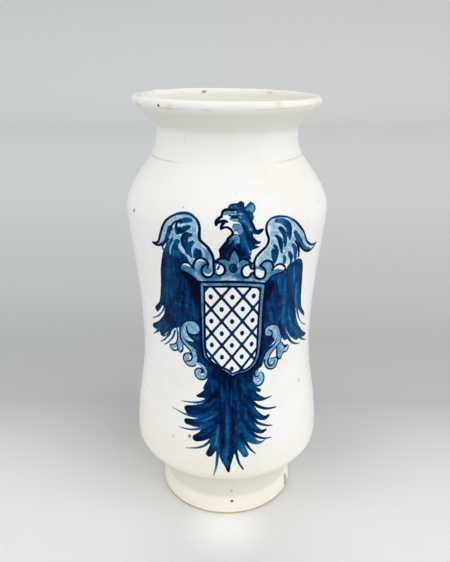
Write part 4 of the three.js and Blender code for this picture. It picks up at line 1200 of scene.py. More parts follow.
def left_scroll(sheet):
    """Pale scrollwork on the left under the shield: three volutes, a leaf and the stems that join them, on a
    dark ground next to the shield."""
    stem = [
        (-16.9, 151), (-19, 152.2), (-21.5, 152.8), (-24, 152.6), (-26.1, 151.8), (-28.2, 150.4), (-29.8, 148.3),
        (-30.9, 146), (-31.3, 143.1), (-31.1, 140.2), (-30.5, 138.1), (-29.2, 136.2), (-27.3, 134.5),
        (-25.3, 132.7), (-23.8, 131), (-23.2, 128.9), (-23.2, 126.8), (-24, 125.2), (-25.7, 124.1), (-27.3, 123.9),
    ]
    disc = [
        (-19, 151.6), (-17.4, 149.8), (-16.9, 147.7), (-17.1, 146), (-18.2, 144.5), (-20.2, 143.5), (-22.3, 143.1),
        (-24.4, 143.5), (-25.5, 144.8), (-25.9, 146.4), (-26.1, 148.3),
    ]
    leaf_top = [(-26.1, 148.3), (-26, 145.4), (-25.2, 143.2), (-23.6, 141.2), (-22, 140), (-20, 138.9)]
    leaf_under = [(-20, 138.9), (-21.6, 138), (-24, 137.9), (-26.4, 138.1), (-28.6, 139)]
    right = [
        (-27.3, 137.6), (-24.4, 136), (-21.5, 134.3), (-19.4, 132.7), (-18.4, 130.2), (-19, 127.7), (-19.6, 125.2),
        (-20.7, 123.1), (-22.3, 121.6),
    ]
    low = [
        (-24.8, 130), (-26.5, 129.8), (-28.2, 128.7), (-29.4, 126.8), (-29.4, 124.8), (-28.4, 122.7),
        (-26.1, 121.2), (-23.6, 120.9), (-21.5, 121.5), (-20.3, 123),
    ]
    third = [
        (-19.8, 124.6), (-18.2, 124.9), (-16.4, 124.2), (-14.8, 123.1), (-13.2, 121), (-12.5, 118.5), (-12.8, 116),
        (-14, 113.9), (-16.5, 112.8), (-19, 113.1), (-20.7, 114.8), (-21.5, 117.2), (-20.7, 119.3), (-19, 120.5),
        (-17.3, 120.2), (-16.5, 118.9), (-16.7, 117.4),
    ]
    ground = (
        [(-25.6, 147), (-22, 145), (-16.3, 151)], [(-16.3, 140), (-15.5, 130), (-13, 126.5), (-8, 122.8)],
        [(-11.6, 118), (-13, 121.4), (-15, 123.4), (-18.4, 125)], right[6:2:-1], [(-19.4, 132.7)], right[2::-1],
        [(-29, 139.2), (-25.6, 147)],
    )
    sheet.lift_area(
        [(-20, 147), (-26, 147), (-30, 141), (-28, 136.6), (-25.6, 133.6), (-18.6, 131), (-16.6, 139), (-17, 146)],
    )
    sheet.fill(0.82, 10, *ground)
    sheet.stroke(MID, (1, 2, 1), (-22.6, 141.8), (-20.2, 141.4), (-18, 141.8))
    inner = [
        (-19, 151), (-22, 152), (-24.6, 151.6), (-27.6, 150), (-29.4, 147.6), (-30.5, 144.6), (-30.7, 141),
        (-29.8, 138),
    ]
    sheet.lift_area(inner, [(-28, 137.4)], leaf_under[::-1], leaf_top[::-1], disc[::-1])
    sheet.lift_area(disc, [(-26.1, 148.3), (-24, 151), (-19, 151)])
    sheet.wash(
        0.32, stem[:12], [(-28, 137.4)], leaf_under[::-1], leaf_top[::-1],
        [(-26.1, 148.3), (-24, 150.6), (-16.9, 151)],
    )
    sheet.wash(0.35, disc, [(-26.1, 148.3), (-24, 151), (-19, 151.6)])
    sheet.patch(
        0.32, [(-29.2, 136.2), (-28, 137.4)], right, [(-24.8, 121.2)], [(-25.7, 124.1), (-24, 125.2)],
        stem[16:11:-1],
    )
    sheet.wash(0.32, low[1:], [(-22, 124), (-23.2, 126.8), (-24.4, 129)])
    sheet.patch(0.32, third[:13], [(-18.6, 121.6), (-19.8, 124.6)])
    cluster_top = [
        (-33.2, 144), (-33.4, 139.3), (-33.8, 137.2), (-34.8, 134.8), (-36.5, 133.4), (-38.6, 132.7), (-40.4, 132),
    ]
    cluster_one = [(-40.4, 132), (-40, 130.2), (-37.8, 128.8), (-35.7, 129.1), (-34, 130.4), (-33.6, 131.6)]
    cluster_two = [(-33.6, 130.2), (-32.8, 128.9), (-31.1, 129.3), (-29.6, 131.4), (-29.4, 133.4), (-30.2, 135.4)]
    sheet.wash(0.38, cluster_top, cluster_one, cluster_two, [(-30.6, 138), (-31.3, 142)])
    each(
        sheet.stroke,
        (0.4, (1.6, 2.4, 2.6, 1), (-27.6, 149.4), (-29.3, 146), (-29.6, 142.4), (-28.6, 139.4)),
        (0.4, (1.4, 2.6, 1.4), (-24.6, 150.8), (-22.6, 149), (-20.6, 149.4)),
        (0.4, (1.4, 2.4, 2), (-24.4, 135), (-21.6, 132.2), (-21.2, 128.4)),
        (0.4, (1.6, 2.4, 1.6), (-27.6, 127.6), (-26.8, 126.6), (-25.8, 126.2)),
        (0.4, (1.4, 2.4, 1.4), (-15, 119.6), (-14.4, 116.8), (-16.8, 114.8)),
        layer="wash",
    )
    each(
        sheet.lift,
        ((0.3, 0.6, 0.3), (-18.6, 145.6), (-20.6, 144.6), (-24, 144.9)),
        ((0.5, 1, 0.5), (-27, 140.4), (-24.4, 139.4), (-21.4, 138.8)),
        ((0.8, 1.2, 0.8), (-24.8, 128.4), (-24.4, 127), (-25, 125.8)),
        ((0.8, 1.2, 0.6), (-17, 116.4), (-16.2, 116.6), (-15.2, 117.2)),
        ((0.4, 1.3, 0.7), (-19.4, 121.8), (-18.6, 122.2), (-17.4, 121.3)),
        ((0.6, 1.1, 0.6), (-37.6, 131.2), (-35.8, 130.6), (-34.4, 131.6)),
        ((0.4, 0.9, 0.5), (-30.8, 133.4), (-31.2, 131.8), (-32, 130.9)),
        ((0.4, 0.8, 0.5), (-22.2, 131.8), (-20.2, 130.4), (-19.4, 128.6)),
        ((0.5, 0.9, 0.5), (-28.6, 146.6), (-28.4, 144.4), (-27.4, 142.4)),
    )
    each(
        sheet.ink,
        (1, *stem), (0.85, *low), (0.85, *third), (0.85, *disc), (1, *leaf_top), (0.75, *leaf_under),
        (0.8, *right[:7]), (0.75, *cluster_top), (0.75, *cluster_one), (0.75, *cluster_two),
        (0.8, (-20.6, 132), (-19.6, 130.2), (-19.4, 128.4)),
        (0.85, (-16.9, 121.4), (-15.5, 119.6), (-15.7, 117.9), (-16.8, 117.6)),
        (0.8, (-33.8, 134.4), (-33.8, 132.4), (-33.4, 130.8)),
        depth=0.9,
    )
    sheet.ink(1.7, (-24.4, 129.6), (-24, 129))


def right_scroll(sheet):
    """Pale scrollwork on the right, with a small leaf that points outwards and one volute by the tail."""
    stem = [
        (24.4, 143.6), (24.4, 146.2), (26.1, 147.9), (28.6, 148.6), (31.1, 148.3), (33.2, 147.4), (34.8, 145.8),
        (36.1, 143.7), (36.9, 141.2), (37.5, 138.3), (37.3, 136.2), (36.5, 134.5), (34.4, 132.8), (31.9, 130.8),
        (29.8, 128.7), (28.6, 126.6), (28, 123.7), (28.5, 121.3), (30.3, 120),
    ]
    disc = [(24.4, 144), (25.2, 142.2), (26.8, 141.2), (28.6, 141), (29.8, 141.8), (30, 143)]
    hook = [(27.4, 145.6), (29, 144.6), (30, 142.9), (30, 141)]
    leaf_top = [(30, 143), (30.7, 139.6), (31.5, 137.8), (30.7, 136.2), (28.6, 134.9), (25.8, 133.8)]
    leaf_under = [(25.8, 133.6), (29.8, 133.8), (32.6, 135.4), (33.4, 137.8)]
    left = [(33, 135.6), (30.7, 133.6), (28.2, 132), (26.1, 129.9), (24.8, 127.8), (24, 125.3), (23.8, 123)]
    ring = [
        (25.5, 125.4), (25.3, 122.8), (26.1, 120.3), (28.2, 118.2), (30.7, 117.4), (33.2, 118), (34.8, 119.9),
        (35.4, 122.4), (34.6, 124.4), (32.3, 124.9), (29.8, 125.3),
    ]
    inner = [(27.8, 125.3), (27.5, 122.8), (28.4, 120.8), (30.3, 119.7), (32.3, 120.4), (33.3, 122), (32.6, 123.2)]
    ground = [(24.4, 147), (22.7, 150), (22.8, 145), (22.3, 135), (21.2, 128), (18.5, 122.5), (18.6, 119.6)]
    ground_back = (
        [(18.6, 119.6), (21.6, 119.8), (23.8, 121.4)], left[::-1],
        [(33, 135.6), (31.5, 137.8), (30, 143), (24.4, 147)],
    )
    sheet.lift_area(
        [(25, 146.4), (33, 144), (36.4, 138), (35.8, 134.6), (30.4, 129.8)], [(24, 124), (22.9, 130), (22.9, 144)],
    )
    sheet.fill(0.86, -10, ground, *ground_back)
    rim = [
        (25, 146), (26.6, 147.3), (28.8, 147.9), (31, 147.6), (33, 146.7), (34.4, 145.2), (35.6, 143.2),
        (36.3, 141), (36.9, 138.2), (36.7, 136.4), (36, 135),
    ]
    leaf = rim, [(33, 135.6)], leaf_under[::-1], leaf_top[::-1], disc[::-1]
    sheet.patch(0.32, *leaf)
    branch = [(33, 135.6), (36.5, 134.5)], stem[11:17], [(26.4, 121)], [(23.8, 123)], left[::-1]
    sheet.patch(0.32, *branch)
    sheet.wash(0.32, ring[:9], [(34.6, 124.4), (29.8, 125.3), (26, 125.4)])
    cluster = [
        (34.4, 132.4), (34.8, 128.7), (35, 125.3), (36.4, 123.3), (37.8, 122.8), (39, 125.3), (39.8, 126.6),
        (42.3, 126.3), (44.3, 127.5), (44.7, 129.8), (43.6, 130.9),
    ]
    cluster_top = [(43.6, 130.9), (41.4, 130.9), (39.8, 132), (38.6, 133.7), (37.6, 134.6)]
    sheet.wash(0.35, cluster, cluster_top, [(36.5, 134.5), (34.4, 132.4)])
    last = [
        (20.9, 117.4), (22.8, 117.4), (24.4, 115.3), (25, 112.8), (24.4, 110.3), (22.8, 108.3), (20.7, 107.9),
        (18.6, 108.9), (17.1, 111.2), (16.7, 113.7), (17.1, 116.6), (17.8, 118.7), (19.8, 120.3),
    ]
    sheet.patch(0.32, last[1:], [(20.9, 117.4)])
    each(
        sheet.stroke,
        (0.4, (1, 2.4, 3, 1.6), (31.8, 147), (34.6, 143.4), (35.4, 139.6), (34.8, 136.4)),
        (0.4, (1.4, 2.4, 1.6), (25.8, 145.4), (27.2, 143.6), (28.2, 142.6)),
        (0.4, (1.4, 2, 1.4), (33.6, 134.4), (30, 131.4), (27.4, 128)),
        (0.4, (1.4, 2.2, 1.4), (30, 123.2), (31.2, 122.8), (31.4, 121.6)),
        (0.4, (1.6, 2.2, 1), (36.4, 131.6), (37.2, 128.4), (37.4, 124.6)),
        (0.4, (1.2, 2, 1.4), (20.6, 119), (18.6, 116.4), (18.2, 113)),
        layer="wash",
    )
    each(
        sheet.lift,
        ((0.5, 1.2, 1, 0.4), (33, 137), (31.8, 135.6), (29.4, 134.7), (26.4, 133.9)),
        ((0.7, 1, 0.6), (30.2, 121.6), (30.8, 122), (31.4, 121.9)),
        ((0.5, 1, 0.5), (40.8, 127.8), (43, 128.4), (43.8, 129.8)),
        ((0.6, 1.1, 0.6), (20.2, 112.6), (20.8, 112), (21.2, 111.6)),
        ((0.5, 1.6, 0.4), (31.2, 126.6), (33, 127.2), (33.8, 125.8)),
        ((0.4, 0.8, 0.4), (19.2, 110.4), (21.6, 109.6), (23.4, 111)),
    )
    each(
        sheet.ink,
        (0.85, *stem), (0.75, *disc), (0.85, *hook), (0.8, *leaf_top[1:]), (0.8, *leaf_under),
        (0.8, *left), (0.85, *ring), (0.8, *inner), (0.8, *cluster), (0.85, *cluster_top), (0.85, *last[1:]),
        (0.9, (20.7, 119.6), (18.8, 118.8), (18.2, 116.7), (18.7, 115), (20.2, 114.4), (21.2, 115)),
        (0.85, (34.4, 133), (34.2, 129.6), (34.4, 125.2)),
        (0.8, (39.8, 132), (41.4, 129.8), (43, 129.9)),
        depth=0.88,
    )


def tail(sheet):
    """The tail: a dark middle from which blunt feathers and fine hairs fan out and down."""
    core = [
        (-13.5, 120.5), (-13, 113), (-14.5, 109), (-15, 106), (-17.5, 103.5), (-20.3, 101), (-18.5, 100.3),
        (-14.5, 100.3), (-11, 99),
    ]
    left = [
        (-9.5, 94), (-9, 88), (-8.6, 82), (-7.8, 75), (-6.5, 69), (-5, 64.6), (-4, 60.4), (-2.8, 57), (-1.2, 54),
        (-0.3, 51.2), (0.9, 49.1),
    ]
    right = [
        (1.5, 49.4), (2, 51.8), (2.3, 54.8), (3.3, 58.6), (4.3, 62.6), (6.4, 69), (10.2, 76.6), (13.2, 84),
        (14, 92), (14.4, 99), (15.6, 106), (17, 110), (17, 117),
    ]
    top = [(17, 117), (18.8, 120.4), (14, 121), (3.6, 118), (-6, 122.8), (-11, 125), (-13.5, 120.5)]
    sheet.fill(0.89, 0, core, left, right, top)
    night, dusk, day = (0.88, 0.9, 0.96), (0.87, 0.79, 0.88), (0.78, 0.68, 0.66)
    each(
        sheet.stroke,
        (night, (4, 3, 1.6), (-11, 108), (-14, 104.6), (-19.3, 101.2)),
        ((0.86, 0.9, 0.92), (7, 6.4, 4.8), (-9, 95), (-14, 91.4), (-20, 89.4), (-25, 90)),
        (night, (5, 5, 4.6), (-8, 99), (-14, 94.9), (-20, 92.6), (-26, 91.2)),
        ((0.84, 0.85, 0.93), (7, 6.6, 5.6, 4.2), (-7, 89.6), (-13, 86), (-19, 82.9), (-25.8, 82.6)),
        (day, (3, 3, 1), (-9, 85.5), (-13, 82.2), (-16.4, 81.2)),
        (night, (9, 8.2, 6.8, 4.8), (-7, 82), (-12, 77.2), (-16, 74.2), (-19.2, 72.6)),
        ((0.8, 0.76, 0.88), (6, 5.4, 4.2), (-5.5, 76), (-8, 68.3), (-10.7, 62.8)),
        (day, (5.2, 5, 4.1), (5.7, 76), (8.5, 68.3), (11.3, 62.2)),
        ((0.74, 0.66, 0.6, 0.5), (7, 6.4, 5.2, 3, 0.8), (8.5, 81), (12.8, 75.4), (16.4, 71), (20, 69.2),
         (23.6, 69.7)),
        (dusk, (7, 5.6, 4.5, 3.5, 1.7), (10, 91), (14.2, 84), (18.2, 78.8), (21.8, 76.4), (24.7, 77)),
        (dusk, (7, 5.8, 4.7, 3.7, 1.8), (12, 97), (16.8, 91), (20.6, 87.2), (24.4, 85.2), (27.4, 86.2)),
        (dusk, (7, 6.4, 5.2, 3.6, 1.4, 0.7), (13, 107), (17, 102), (20.5, 99.6), (24, 98.3), (27, 98.3),
         (30.1, 98.9)),
        ((0.8, 0.8, 0.8), (3.6, 3, 2.4), (15.4, 109), (19, 106.2), (21.6, 104.5)),
        (night, (1.6, 1.8, 1), (-11, 99.4), (-13.4, 98.4), (-15.4, 97.4)),
    )
    for widths, *path in (
        ((1.9, 1.5, 0.7), (-10.5, 101.5), (-14, 99), (-18.5, 97), (-24, 96), (-31, 95.3)),
        ((2.1, 1.8, 1.2, 0.7), (-9, 93), (-14, 89), (-20, 87), (-27, 87), (-33, 88), (-38, 88.8)),
        ((2.2, 1.7, 0.8), (-9, 84.5), (-13, 81.3), (-18, 79), (-24, 77.5), (-31.5, 77.2)),
        ((2.1, 1.6, 0.7), (-8.4, 74.6), (-13, 69), (-18, 66), (-26, 63.8)),
        ((2.2, 1.7, 0.8), (-5.2, 66.5), (-5.8, 60), (-6.5, 53), (-8.2, 46)),
    ):
        sheet.stroke((0.76, 0.66, 0.44), widths, *path)
    for widths, *path in (
        ((1.8, 1.7, 1.2), (5, 71.4), (5.6, 65), (7, 57.4), (9.9, 51.2)),
        ((2.2, 1.8, 1), (9, 76.6), (11, 71.5), (14, 66), (17.4, 62)),
        ((2.2, 2, 1.6, 0.9), (12.5, 82), (15.5, 76.8), (19.5, 73.2), (24, 71.2), (28, 70.8)),
        ((2.2, 2.1, 1.7, 0.9), (13.2, 91), (16.5, 86.3), (20, 82.7), (25, 80), (29.4, 78.7)),
        ((2.3, 2.2, 1.8, 1.1), (14.4, 100.4), (18, 96), (22, 93), (27, 91), (33, 90.3)),
        ((1.6, 1.2, 0.8), (-12.6, 112), (-14.4, 109), (-15.4, 106.6)),
    ):
        sheet.stroke((0.92, 0.84, 0.72), widths, *path)
    each(
        sheet.tone,
        (0.06, (6, 8, 5), (4, 113), (6, 109), (5.6, 105)),
        (0.08, (6, 8, 6), (-8, 119), (-2, 114), (0, 108)),
        (0.24, (2.8, 3.2, 1.8), (-6.2, 105.2), (-9, 101.6), (-12.6, 98.4)),
        (0.1, (1.6, 2, 1.6), (3.6, 94), (3.8, 82), (3.4, 72)),
        (0.1, (1.6, 2, 1.6), (-3, 94), (-3.6, 82), (-3, 72)),
        (0.16, (1, 1.4, 1), (13.4, 92), (16, 88), (19.6, 84)),
        (0.16, (1.6, 1.6), (0.8, 60.6), (1.2, 59.6)),
        (0.22, (1.6, 1.8), (1.2, 52.4), (1.3, 50.6)),
        (0.1, (1, 1.6, 1), (6.4, 80), (7.4, 76), (8.2, 72)),
        (-0.18, (1.6, 2.6, 2.2), (0.4, 96), (0.3, 80), (0.4, 63)),
        (-0.16, (2, 3.4, 1.6), (-1, 60), (-0.4, 57), (0.6, 54)),
        (-0.14, (1.4, 1.6, 1), (3.2, 61), (3.2, 58), (2.4, 55)),
        (-0.14, (3, 4, 2), (-1.4, 65), (-0.6, 60), (0.4, 56)),
        (-0.3, (0.5, 0.8, 0.5), (-5, 81.2), (-6, 76), (-6.8, 70)),
        (-0.22, (0.5, 0.9, 0.5), (-14.6, 85), (-10, 88), (-7, 90.8)),
        (-0.2, (0.5, 0.9, 0.5), (-14, 95.4), (-9.6, 98.6), (-7.6, 101)),
        (-0.2, (1, 1.6, 1), (5.4, 114), (5.8, 108), (6, 100)),
        (-0.18, (0.8, 1.4, 0.8), (-10, 113), (-9, 106), (-8.4, 101)),
        (-0.16, (0.8, 1.4, 0.8), (0, 112), (0.2, 106), (0.3, 98)),
        (-0.2, (1, 1.8, 1), (-3.6, 110), (-3.2, 105), (-2.6, 100)),
        (-0.18, (0.6, 1, 0.6), (2.8, 109.4), (3, 104), (3.2, 98)),
        (-0.16, (1, 2, 1), (-7.8, 113.4), (-7.4, 111.4), (-6.6, 109)),
        (-0.16, (1, 2, 1), (9.8, 110.4), (11.4, 108), (12.6, 104.4)),
        (-0.2, (0.8, 1.2, 0.8), (12.3, 94), (12.2, 90), (11.4, 86)),
        (-0.2, (0.8, 1.2, 0.8), (-6.5, 78.6), (-5.8, 80.4), (-4.8, 83)),
        (-0.16, (0.8, 1.4, 0.8), (-5.6, 72), (-5, 68.6), (-4.4, 66)),
        (-0.14, (0.8, 1.4, 0.8), (7, 98), (7.6, 90), (8.6, 84)),
        (-0.16, (0.8, 1.4, 0.8), (-10, 96.8), (-15, 94.4), (-21, 93)),
        (-0.16, (0.8, 1.4, 0.8), (-9, 88.6), (-14, 85.8), (-20, 83.8)),
        (-0.14, (0.8, 1.2, 0.8), (-10.6, 80), (-14, 76.4), (-17.4, 74.6)),
        (-0.14, (0.8, 1.2, 0.8), (13.4, 96.6), (17.2, 91.6), (21.6, 87.8)),
        (-0.14, (0.8, 1.2, 0.8), (11.4, 88.6), (15, 83.4), (19, 79)),
        (-0.14, (0.5, 0.9, 0.5), (8, 71), (9.4, 67), (10.6, 63)),
    )


def cobalt(make, base):
    """Lays the cobalt that the mesh carries over the glaze: flat wash, then brushed colour, then lines."""
    colours = bpy.context.scene.albarello_colours
    brush = make.read("brush")["Vector"]
    wobble = make.times(make.minus(make.noise(0.8, 2, 20), 0.5), 0.4)
    streak = make.noise(0.9, 2, 21, where=brush, stretch=(1, 0.05, 1))
    bristle = make.noise(0.35, 1, 22, where=brush, stretch=(1, 0.04, 1))
    mottle, pool, fleck = make.noise(2.6, 3, 23), make.noise(7, 2, 24), make.noise(0.8, 1, 25)
    grain = make.noise(0.7, 1, 26)

    def cover(layer):
        inside = make.plus(make.read(layer + "_in")["Fac"], wobble)
        return make.step(inside, -0.14, 0.16), inside

    def vary(depth, *parts):
        for noise, share in parts:
            depth = make.plus(depth, make.times(make.minus(noise, 0.5), share))
        return depth

    wash, wash_in = cover("wash")
    rim = make.times(make.step(wash_in, 0.15, 0.7, 1.0, 0.0), 0.05)
    thin = make.plus(make.read("wash_depth")["Fac"], rim)
    thin = vary(thin, (mottle, 0.3), (pool, 0.1), (grain, 0.34))
    pigment = make.times(thin, wash)
    fill, _ = cover("fill")
    brushed = (streak, 0.42), (bristle, 0.14), (pool, 0.24), (mottle, 0.18), (grain, 0.24)
    strong = vary(make.read("fill_depth")["Fac"], *brushed)
    specks = make.times(make.step(fleck, 0.66, 0.76), make.step(pool, 0.35, 0.65, 0.08, 0.4))
    strong = make.minus(strong, specks)

    def over(share, top, under):
        inputs = {0: share, 2: under, 3: top}
        return make.node("ShaderNodeMix", inputs, data_type="FLOAT")[0]

    pigment = over(fill, strong, pigment)
    line, line_in = cover("line")
    pigment = over(line, vary(make.read("line_depth")["Fac"], (mottle, 0.22)), pigment)
    halo = make.times(make.step(make.maths("MAXIMUM", wash_in, line_in), -1.3, 0.0), 0.035)
    pigment = make.maths("MAXIMUM", pigment, halo)
    white = colours.white
    stops = (
        (0.0, white), (0.2, colours.pale_blue), (0.35, colours.wash_blue), (0.5, colours.thin_blue),
        (0.62, colours.brush_blue), (0.76, colours.deep_blue), (0.88, colours.dark_blue), (1.0, colours.navy),
    )
    stops = [(place, [c / w for c, w in zip(shade, white)]) for place, shade in stops]
    return make.mix(1.0, base, make.ramp(pigment, stops), blend="MULTIPLY")


# In the order in which they are laid on the glaze
FIGURE = (
    left_wing, right_wing, left_flight, right_flight, tail, left_scroll, right_scroll, crested_head, crown,
    shield,
)


def paint(mesh):
    """Paints the figure on the front of the coat and stores it on the mesh."""
    place = points_of(mesh) / MM
    radius = np.hypot(place[:, 0], place[:, 1])
    arc = np.arctan2(place[:, 0], -place[:, 1]) * PAINTED_RADIUS
    level = place[:, 2]
    sizes = bpy.context.scene.albarello_sizes
    profile = outside_profile(sizes) / MM
    face = np.interp(level, profile[:, 1], profile[:, 0])
    hand = bpy.context.scene.albarello_hand
    slack = (hand.swell + 2 * hand.ring_depth) / MM
    front = (np.abs(arc) < PAINTED_ARC) & (level > PAINTED_BOTTOM) & (level < PAINTED_TOP)
    rows = np.flatnonzero(front & (radius > face - slack))
    sheet = Sheet(np.column_stack([arc, level])[rows])
    for feature in FIGURE:
        feature(sheet)

    def store(name, values, blank):
        spread = np.full(len(place), blank, np.float32)
        spread[rows] = values
        mesh.attributes.new(name, "FLOAT", "POINT").data.foreach_set("value", spread)

    for layer in LAYERS:
        store(layer + "_in", sheet.inside[layer], FAR_OUT)
        store(layer + "_depth", sheet.depth[layer], 0)
    brush = np.zeros((len(place), 3), np.float32)
    brush[rows] = sheet.brush * MM
    mesh.attributes.new("brush", "FLOAT_VECTOR", "POINT").data.foreach_set("vector", brush.ravel())


# Materials


class Recipe(Wiring):
    """Nodes of one material."""

    def __init__(self, name):
        self.material = bpy.data.materials.new(name)
        self.material.use_nodes = True
        super().__init__(self.material.node_tree)
        self.tree.nodes.clear()
        self.place = self.node("ShaderNodeTexCoord")["Object"]

    def noise(self, period_mm, detail=2.0, seed=0.0, where=None, stretch=None):
        """Noise from 0 to 1 whose grains are about the period wide."""
        where = where or self.place
        if stretch:
            where = self.node("ShaderNodeVectorMath", {0: where, 1: stretch}, operation="MULTIPLY")[0]
        inputs = {"Vector": where, "W": seed, "Scale": 1 / (period_mm * MM), "Detail": detail}
        return self.node("ShaderNodeTexNoise", inputs, noise_dimensions="4D")[0]

    def read(self, name):
        return self.node("ShaderNodeAttribute", attribute_name=name)

    def mix(self, share, first, second, blend="MIX"):
        inputs = {0: share, 6: first, 7: second}
        for socket in (6, 7):
            if not isinstance(inputs[socket], bpy.types.NodeSocket):
                inputs[socket] = (*inputs[socket], 1)
        return self.node("ShaderNodeMix", inputs, data_type="RGBA", blend_type=blend)[2]

    def tint(self, base, shade, *shares):
        """The base mixed with an eight-bit shade, by the product of the shares."""
        share = shares[0]
        for further in shares[1:]:
            share = self.times(share, further)
        return self.mix(share, base, linear(shade))

    def ramp(self, value, stops):
        """A colour ramp through [place, colour] stops."""
        made = self.tree.nodes.new("ShaderNodeValToRGB")
        band = made.color_ramp.elements
        while len(band) > 1:
            band.remove(band[0])
        band[0].position, band[0].color = stops[0][0], (*stops[0][1], 1)
        for place, shade in stops[1:]:
            band.new(place).color = (*shade, 1)
        self.tree.links.new(value, made.inputs[0])
        return made.outputs[0]

    def spot(self, place_mm, radius_mm, edge_mm=0.3, noise=None):
        """1 inside a small round mark on the surface and 0 outside it."""
        centre = tuple(c * MM for c in place_mm)
        far = self.node("ShaderNodeVectorMath", {0: self.place, 1: centre}, operation="DISTANCE")["Value"]
        if noise is not None:
            far = self.plus(far, self.times(self.minus(noise, 0.5), radius_mm * MM))
        return self.step(far, (radius_mm - edge_mm) * MM, (radius_mm + edge_mm) * MM, 1.0, 0.0)

    def finish(self, base, roughness, bump=None, **inputs):
        """The surface: a principled shader, with bumps given as [height, depth in millimetres]."""
        normal = None
        for height, depth_mm in bump or ():
            settings = {"Height": height, "Distance": depth_mm * MM, "Strength": 1.0}
            if normal is not None:
                settings["Normal"] = normal
            normal = self.node("ShaderNodeBump", settings)[0]
        sockets = {"Base Color": base, "Roughness": roughness, **inputs}
        if normal is not None:
            sockets["Normal"] = normal
        shader = self.node("ShaderNodeBsdfPrincipled", sockets)[0]
        self.node("ShaderNodeOutputMaterial", {0: shader})
        return self.material


def fired_clay():
    """Bare buff earthenware: turning marks, grit and iron spots."""
    make = Recipe("fired_clay")
    colours = bpy.context.scene.albarello_colours
    broad, grit = make.noise(9, 3, 1), make.noise(0.7, 2, 2)
    pale = tuple(min(1, c * 1.25) for c in colours.clay)
    base = make.mix(make.step(broad, 0.35, 0.65), tuple(colours.clay), pale)
    base = make.mix(make.step(grit, 0.62, 0.72, 0.0, 0.55), base, tuple(colours.rust))
    base = make.tint(base, (120, 96, 70), make.step(make.noise(4, 3, 5), 0.55, 0.75, 0.0, 0.5))
    rings = make.noise(1.6, 2, 3, stretch=(0.15, 0.15, 1.0))
    return make.finish(base, make.step(broad, 0.3, 0.7, 0.75, 0.9), [(rings, 0.12), (grit, 0.06)])


# The marks of age, in eight-bit sRGB: iron spots, stained and clean chips, and scuffed glaze
IRON, OCHRE, CREAM, BISCUIT = (88, 66, 40), (204, 184, 140), (232, 220, 190), (196, 176, 140)
SCUFF, BROWN = (160, 160, 150), (148, 124, 92)
# Each mark's angle from the front in degrees, its level and radius in millimetres, its share and its colour
MARKS = (
    (-40.5, 276, 0.9, 1.0, (96, 72, 50)), (-64, 276, 2.6, 0.8, CREAM), (-33, 275.5, 2.2, 0.7, CREAM),
    (28.5, 278, 2, 0.9, CREAM), (64.5, 275, 3.4, 0.8, CREAM), (78, 277, 2.6, 0.8, CREAM),
    (-32, 258, 0.5, 0.6, SCUFF), (-32.5, 255.5, 0.5, 0.5, SCUFF), (-36, 257, 0.4, 0.4, (170, 170, 160)),
    (-60.4, 214.7, 1.2, 0.9, (150, 86, 64)), (-22.5, 73, 1.1, 1.0, IRON), (-22.2, 72.4, 1.7, 0.3, OCHRE),
    (-33.5, 69.2, 1.3, 0.5, OCHRE), (54.4, 100.1, 1.3, 0.7, OCHRE), (61, 220, 1, 0.5, OCHRE),
    (5, 231, 0.6, 0.3, IRON), (16, 230.5, 0.5, 0.3, IRON), (18, 231.5, 0.5, 0.25, IRON),
    (-23.5, 223, 0.7, 0.4, IRON), (82, 154.5, 0.8, 0.5, IRON), (4.5, 10, 0.9, 1.0, (50, 32, 22)),
    (4.5, 17, 0.9, 0.55, (150, 146, 130)), (-62, 9, 0.5, 0.6, OCHRE), (69, 7, 2.6, 0.95, BROWN),
    (67.5, 3.8, 2.8, 0.95, BROWN), (69.2, 6.8, 1.9, 0.95, BISCUIT), (67.8, 3.6, 2.1, 0.95, BISCUIT),
)
INNER_MARKS = (
    (197.5, 277.6, 1.5, 0.95, (168, 146, 110)), (195.5, 279.2, 1.6, 0.95, (150, 128, 96)),
    (199, 276.4, 0.9, 0.8, OCHRE), (146, 279.2, 3.2, 0.8, OCHRE), (140, 278.6, 2.6, 0.6, CREAM),
    (152, 279.4, 2.6, 0.7, OCHRE), (246, 279.4, 2, 0.6, (160, 156, 144)), (252, 279.2, 0.8, 0.9, (90, 84, 76)),
    (258, 279.2, 2.4, 0.4, (160, 156, 144)),
)
# Worn lines round the outside: level, half height, share and whether the line shows at the sides only
WORN_LINES = ((244.3, 0.4, 0.5, True), (274.9, 0.45, 0.4, False), (4.6, 0.4, 0.25, False))
WORN_SIDES, WORN_CREST = (0.022, 0.036), (0.2791, 0.2796)
SOFT_LINE = 0.35

# Levels in metres between which the glaze changes tint: cream low down, painted shade above the foot, under
# the lip in the throat and inside the jar below the lip's top. The cream is stronger on the left.
LOW_CREAM, LEFT_CREAM = (0.045, 0.1), (0.0, 0.05)
FOOT_SHADE_FROM, FOOT_SHADE_TO = (0.011, 0.015), (0.026, 0.031)
THROAT_SHADE_FROM, THROAT_SHADE_TO = (0.256, 0.266), (0.271, 0.2745)
INSIDE_SHADE_TO = (0.274, 0.279)


